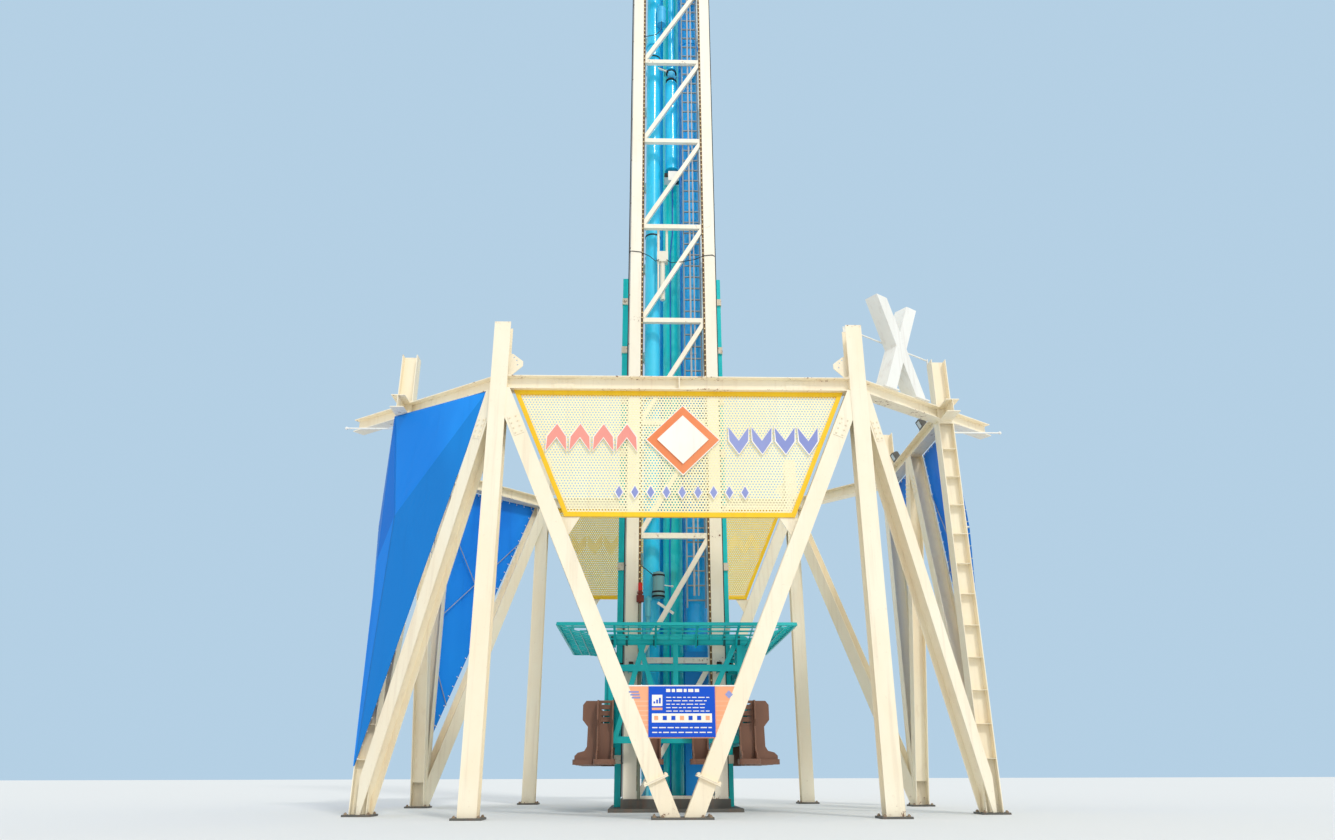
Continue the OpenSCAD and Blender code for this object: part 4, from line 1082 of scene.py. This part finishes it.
def addSplice(bm, at, s):
    lift = Matrix.Translation((0, 0, s["thickness"] / 2))
    addPlate(bm, at @ lift, (s["width"], s["length"], s["thickness"]))
    for side in sides:
        for y in rowOf(s["rows"], s["length"] / s["rows"]):
            place = (side * s["width"] * nutColumns, y, s["thickness"])
            addNut(bm, at @ Matrix.Translation(place), s["nut"])


# Plate between a V leg and the sign's lower corner
def addGusset(bm, side, y, s):
    before = len(bm.faces)
    x = side * s["at"]
    corners = [(x, s["head"]), (x - side * s["wide"], s["head"]), (x - side * s["slant"], s["foot"])]
    addPrism(bm, corners, y - s["thickness"] / 2, s["thickness"])
    bm.faces.ensure_lookup_table()
    bmesh.ops.recalc_face_normals(bm, faces=bm.faces[before:])


# Bolted flanges round a leg
def addCollar(bm, at, s):
    for side in sides:
        lift = Matrix.Translation((0, 0, side * s["thickness"] * s["spread"]))
        addPlate(bm, at @ lift, (s["size"], s["size"], s["thickness"]))
    for x in sides:
        for y in (-1, 0, 1):
            place = (x * s["at"], y * s["at"], s["thickness"] * s["seat"])
            addNut(bm, at @ Matrix.Translation(place), s["nut"])


def makeSplices(s):
    bm = bmesh.new()
    ring, half = s["ring"], s["braceHalf"]
    run = frameX - s["veeFoot"]
    share = (ring - s["spliceDrop"]) / ring
    for sx, sy in quarters:
        lean = Vector((sx * run, 0, ring)).normalized()
        centre = (sx * (s["veeFoot"] + run * share), sy * (frameY + half), ring * share)
        addSplice(bm, facing(centre, lean, (0, sy, 0)), splice)
        low = collar["height"]
        centre = (sx * (s["veeFoot"] + run * low / ring), sy * frameY, low)
        addCollar(bm, facing(centre, (0, 1, 0), lean), collar)
        addGusset(bm, sx, sy * frameY, gusset)
        post = Vector((sx * sideX, sideY[sy > 0], 0))
        head = Vector((sx * frameX, sy * frameY, ring))
        brace = head - post
        out = across(brace, post)
        addSplice(bm, facing(post.lerp(head, share) + out * half, brace, out), splice)
        brace = Vector((0, s["sideMiddle"] - post.y, ring))
        inner = Vector((-sx, 0, 0))
        addSplice(bm, facing(post + brace * share + inner * half, brace, inner), splice)
    wide, reach, tall = s["middleJoint"]
    for sy in sides:
        face = sy * (frameY + s["webFace"])
        for x in s["ringSplices"]:
            addSplice(bm, facing((x, face, ring), (1, 0, 0), (0, sy, 0)), ringSplice)
        back, front = sorted((face, sy * (frameY + reach)))
        addBox(bm, (-wide, back, ring - tall), (wide, front, ring + tall))
    finishPiece("splicePlates", bm, ["frameCream"])


makeFrameBolts(outer)
makeSplices(outer)
print("tents, bolts and splices made")


# Strings of bulbs on dark strips along the legs, at the front and the back

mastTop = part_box("mast_legs")[1].z

bulbs = {
    "x": 0.353,
    "strip": (0.012, 0.007),      # half width and depth
    "face": 0.475,                # the lattice's outer face
    "pitch": 0.066,
    "radius": 0.0088,
    "proud": 0.7,                 # of the radius, from the strip to a bulb's middle
    "low": 0.18,
    "high": mastTop - 0.15,
}


def makeBulbStrings(s):
    strips = bmesh.new()
    lamps = bmesh.new()
    half, depth = s["strip"]
    for sx, sy in quarters:
        inner, front = sorted((sy * s["face"], sy * (s["face"] + depth)))
        addBox(strips, (sx * s["x"] - half, inner, s["low"]), (sx * s["x"] + half, front, s["high"]))
        first = (sx * s["x"], sy * (s["face"] + depth + s["radius"] * s["proud"]), s["low"] + s["pitch"])
        addBall(lamps, first, s["radius"])
    finishPiece("bulbStrips", strips, ["bulbStrip"])
    row = finishPiece("bulbs", lamps, ["bulbWarm"], smooth=True).modifiers.new("row", "ARRAY")
    row.use_relative_offset = False
    row.use_constant_offset = True
    row.constant_offset_displace = (0, 0, s["pitch"])
    row.count = int((s["high"] - s["low"]) / s["pitch"]) - 1


makeBulbStrings(bulbs)


# Cables, pipes and small fittings of the mast

lineFoot, lineHead = 0.13, 24.9


def upright(x, y):
    return [(x, y, lineFoot), (x, y, lineHead)]


mastLines = {
    "conduit": (0.007, "greyConduit", upright(-0.4975, -0.480)),
    "leftCable": (0.005, "blackCable", upright(-0.509, -0.484)),
    "rightCable": (0.005, "blackCable", upright(0.4955, -0.482)),
    "hose": (0.007, "blueHose", [
        (-0.035, -0.116, lineFoot), (-0.035, -0.116, 2.6), (-0.02, -0.118, 3.0),
        (-0.02, -0.118, 6.2), (0.01, -0.118, 6.5), (0.01, -0.118, 7.2)]),
    "boxCableLeft": (0.0045, "blackCable", [
        (-0.16, -0.43, 5.93), (-0.20, -0.44, 5.90), (-0.27, -0.482, 5.94), (-0.38, -0.494, 5.99),
        (-0.47, -0.495, 6.00), (-0.495, -0.489, 6.00), (-0.509, -0.484, 5.97)]),
    "boxCableRight": (0.0045, "blackCable", [
        (-0.07, -0.43, 5.93), (-0.02, -0.44, 5.88), (0.10, -0.482, 5.87), (0.25, -0.484, 5.90),
        (0.37, -0.494, 5.95), (0.46, -0.495, 5.96), (0.4955, -0.488, 5.94)]),
    "lowCableLeft": (0.0045, "blackCable", [
        (-0.35, -0.482, 2.30), (-0.28, -0.482, 2.25), (-0.22, -0.430, 2.21), (-0.18, -0.40, 2.20)]),
    "highCable": (0.0045, "blackCable", [
        (-0.131, -0.41, 9.60), (-0.135, -0.42, 9.44), (-0.20, -0.46, 9.32), (-0.30, -0.482, 9.27),
        (-0.36, -0.486, 9.25)]),
}

clips = {"pitch": 0.625, "first": 0.42, "high": mastTop - 0.2, "leg": 0.49, "front": -0.489,
         "left": (0.024, 0.020), "right": (0.012, 0.016), "half": 0.006}      # reach and depth


def makeClips(s):
    bm = bmesh.new()
    leg, front = s["leg"], s["front"]
    for z in climb(s["first"], s["pitch"], s["high"]):
        low, high = z - s["half"], z + s["half"]
        reach, deep = s["left"]
        addBox(bm, (-leg - reach, front, low), (-leg, front + deep, high))
        reach, deep = s["right"]
        addBox(bm, (leg, front, low), (leg + reach, front + deep, high))
    finishPiece("cableClips", bm, ["darkSteel"])


for name, (radius, surface, points) in mastLines.items():
    makeTube(name, points, radius, surface)
makeClips(clips)


# Two rails up the ladder's middle

arrest = {"rails": [(0.203, 0.010), (0.247, 0.007)], "y": (-0.436, -0.426),     # middle, half width
          "low": 2.0, "high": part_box("ladder")[1].z - 0.05,
          "clip": (0.004, -0.4245, 0.02), "firstClip": 2.2, "clipPitch": 1.25}


def makeArrestRails(s):
    bm = bmesh.new()
    front, back = s["y"]
    proud, clipBack, tall = s["clip"]
    for x, half in s["rails"]:
        addBox(bm, (x - half, front, s["low"]), (x + half, back, s["high"]))
        for z in climb(s["firstClip"], s["clipPitch"], s["high"]):
            addBox(bm, (x - half - proud, front - proud, z), (x + half + proud, clipBack, z + tall))
    finishPiece("arrestRails", bm, ["greyConduit"])


makeArrestRails(arrest)


pipeHeights = [4.2, 6.35, 9.1, 11.6, 14.1, 16.6, 19.1, 21.6]

bands = {
    "pipes": [(-0.232, -0.232, 0.088, pipeHeights), (-0.232, 0.232, 0.088, pipeHeights),
              (-0.16, -0.364, 0.060, [2.0, 2.045, 2.215])],
    "tall": 0.018,
    "proud": 0.005,
    "gap": 0.0004,
}


def makeBands(s):
    bm = bmesh.new()
    for x, y, radius, heights in s["pipes"]:
        for z in heights:
            addCylinder(bm, Matrix.Translation((x, y, z)), radius + s["proud"], s["tall"], 40, caps=False)
    bmesh.ops.solidify(bm, geom=bm.faces[:], thickness=s["proud"] - s["gap"])
    bmesh.ops.recalc_face_normals(bm, faces=bm.faces[:])
    finishPiece("pipeBands", bm, ["blackCable"])


makeBands(bands)
print("mast lines and bulbs made")


# Clamps round the carriage's tube ring, and bolts of the guide tubes' clamps

ringClamps = {"at": (-0.61, -0.47, -0.205, 0.205, 0.47, 0.61), "off": 0.6535, "z": 1.524,
              "radius": 0.050, "width": 0.022, "nut": 0.007, "nutSink": 0.002}


def makeRingClamps(s):
    bm = bmesh.new()
    off, z = s["off"], s["z"]
    for x in s["at"]:
        ring = Matrix.Translation((x, -off, z)) @ Matrix.Rotation(math.radians(90), 4, "Y")
        addCylinder(bm, ring, s["radius"], s["width"], 28)
        front = (x, -off - s["radius"] + s["nutSink"], z)
        addNut(bm, facing(front, (0, 0, 1), (0, -1, 0)), s["nut"])
    quarter = bm.verts[:] + bm.edges[:] + bm.faces[:]
    for turn in (90, 180, 270):
        copy = vertsOf(bmesh.ops.duplicate(bm, geom=quarter)["geom"])
        bmesh.ops.rotate(bm, verts=copy, cent=(0, 0, 0), matrix=Matrix.Rotation(math.radians(turn), 3, "Z"))
    finishPiece("ringClamps", bm, ["darkTeal"], body="carriage")


makeRingClamps(ringClamps)


guideBolts = {"first": 0.46, "pitch": 0.64, "count": 9, "at": 0.506, "face": 0.055,
              "spread": 0.026, "radius": 0.0065}


def makeGuideBolts(s):
    bm = bmesh.new()
    heights = [s["first"] + n * s["pitch"] + side * s["spread"] for n in range(s["count"]) for side in sides]
    for sx, sy in quarters:
        for z in heights:
            addNut(bm, facing((sx * s["at"], sy * s["face"], z), (0, 0, 1), (0, sy, 0)), s["radius"])
    finishPiece("guideBolts", bm, ["boltSteel"])


makeGuideBolts(guideBolts)


# Pipes that close the gaps beside the centre column

rearPipes = {"places": [(-0.12, 0.152, 0.032), (0.10, 0.158, 0.026)], "low": 0.11, "high": lineHead}


def makeRearPipes(s):
    bm = bmesh.new()
    for x, y, radius in s["places"]:
        addRod(bm, (x, y, s["low"]), (x, y, s["high"]), radius, 20)
    for face in bm.faces:
        face.smooth = len(face.verts) == 4
    finishPiece("rearPipes", bm, ["cylinderDeep"])


makeRearPipes(rearPipes)


# Small fittings by the canister: riser with a flange, knob and tie bar

fittings = {
    "riser": (-0.266, -0.356),
    "riserParts": [(0.11, 1.80, 0.019), (1.80, 1.965, 0.028), (1.965, 1.985, 0.037), (1.985, 2.01, 0.012)],
    "riserNuts": (4, 0.029, 1.985, 0.005),      # count, distance, height, radius
    "knobRod": ((-0.11, -0.375, 2.117), (-0.03, -0.375, 2.106), 0.005),
    "knob": (-0.02, -0.375, 2.104),
    "knobRadius": 0.013,
    "tieBar": ((-0.168, -0.419, 1.931), (-0.009, -0.419, 1.822)),
    "tieSize": (0.026, 0.012),
}


def makeFittings(s):
    bm = bmesh.new()
    x, y = s["riser"]
    for low, high, radius in s["riserParts"]:
        addRod(bm, (x, y, low), (x, y, high), radius, 20)
    count, off, z, radius = s["riserNuts"]
    for n in range(count):
        angle = math.tau * (n + 0.5) / count
        addNut(bm, Matrix.Translation((x + off * math.cos(angle), y + off * math.sin(angle), z)), radius)
    finishPiece("riser", bm, ["fittingCyan"])
    bm = bmesh.new()
    addRod(bm, *s["knobRod"])
    dark = len(bm.faces)
    addBall(bm, s["knob"], s["knobRadius"])
    start, end = (Vector(p) for p in s["tieBar"])
    wide, thick = s["tieSize"]
    addBlock(bm, facing((start + end) / 2, end - start, (0, -1, 0)), (wide, (end - start).length, thick))
    colourFrom(bm, dark, 1)
    finishPiece("knobAndTie", bm, ["blackCable", "signWhite"])


makeFittings(fittings)


# Valve at the tank's head with its actuator, and a small box on a bracket under the tank

valve = {
    "body": ((0.0, -0.262, 8.84), 0.050),
    "lug": ((-0.062, -0.262, 8.90), (0.062, -0.262, 8.78), 0.021),
    "flanges": (8.772, 8.905),
    "flange": (0.071, 0.012),
    "tube": ((-0.060, -0.285, 8.872), (-0.195, -0.285, 8.935), 0.016),
    "cap": 0.019,
    "stem": ((-0.085, -0.285, 8.884), (-0.085, -0.285, 8.79), 0.006),
    "plate": ((-0.092, -0.252, 7.225), (0.087, -0.095, 7.290)),
    "box": ((-0.046, -0.330, 7.130), (0.082, -0.250, 7.262)),
    "lip": ((-0.018, -0.336, 7.118), (0.086, -0.250, 7.130)),
}


def makeValve(s):
    bm = bmesh.new()
    middle, radius = s["body"]
    bmesh.ops.create_uvsphere(bm, u_segments=24, v_segments=12, radius=radius,
                              matrix=Matrix.Translation(middle))
    addRod(bm, *s["lug"], 16)
    finishPiece("valveBody", bm, ["valveBlue"], smooth=True)
    bm = bmesh.new()
    wide, thick = s["flange"]
    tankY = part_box("upper_pipe")[0].y + wide
    for low in s["flanges"]:
        addRod(bm, (middle[0], tankY, low), (middle[0], tankY, low + thick), wide, 28)
    start, end, radius = s["tube"]
    along = (Vector(end) - Vector(start)).normalized() * s["cap"]
    addRod(bm, Vector(start) - along, start, s["cap"], 16)
    addRod(bm, end, Vector(end) + along, s["cap"], 16)
    addRod(bm, *s["stem"])
    addBox(bm, *s["plate"])
    dark = len(bm.faces)
    addRod(bm, start, end, radius, 16)
    addBox(bm, *s["box"])
    addBox(bm, *s["lip"])
    colourFrom(bm, dark, 1)
    finishPiece("valveActuator", bm, ["blackCable", "signWhite"])


makeValve(valve)


# Glass, bezels and cooling fins of the floodlights

lamps = {
    "y": (-0.676, 0.383),
    "centre": (2.634, 3.789),
    "tilt": 25,
    "half": 0.027,               # from the housing's middle to its front and back
    "glass": (0.082, 0.070, 0.003),
    "bezel": (0.104, 0.094, 0.006, 0.008),
    "fins": 6,
    "finPitch": 0.016,
    "fin": (0.004, 0.074, 0.014),
}


def makeLampParts(s):
    glass = bmesh.new()
    metal = bmesh.new()
    tilt = math.radians(s["tilt"])
    out = Vector((-math.cos(tilt), 0, -math.sin(tilt)))
    x, z = s["centre"]
    wide, tall, thick, bar = s["bezel"]

    # Block that stands on the local XY plane
    def addStanding(bm, at, size, off=(0, 0)):
        addBlock(bm, at @ Matrix.Translation((*off, size[2] / 2)), size)

    for y in s["y"]:
        front = facing(Vector((x, y, z)) + out * s["half"], (-out.z, 0, out.x), out)
        addStanding(glass, front, s["glass"])
        for side in sides:
            addStanding(metal, front, (bar, tall, thick), (side * (wide - bar) / 2, 0))
            addStanding(metal, front, (wide - 2 * bar, bar, thick), (0, side * (tall - bar) / 2))
        back = facing(Vector((x, y, z)) - out * s["half"], (-out.z, 0, out.x), -out)
        for off in rowOf(s["fins"], s["finPitch"]):
            addStanding(metal, back, s["fin"], (off, 0))
    finishPiece("lampGlasses", glass, ["lampGlass"])
    finishPiece("lampBezels", metal, ["darkSteel"])


makeLampParts(lamps)
print("small fittings made")
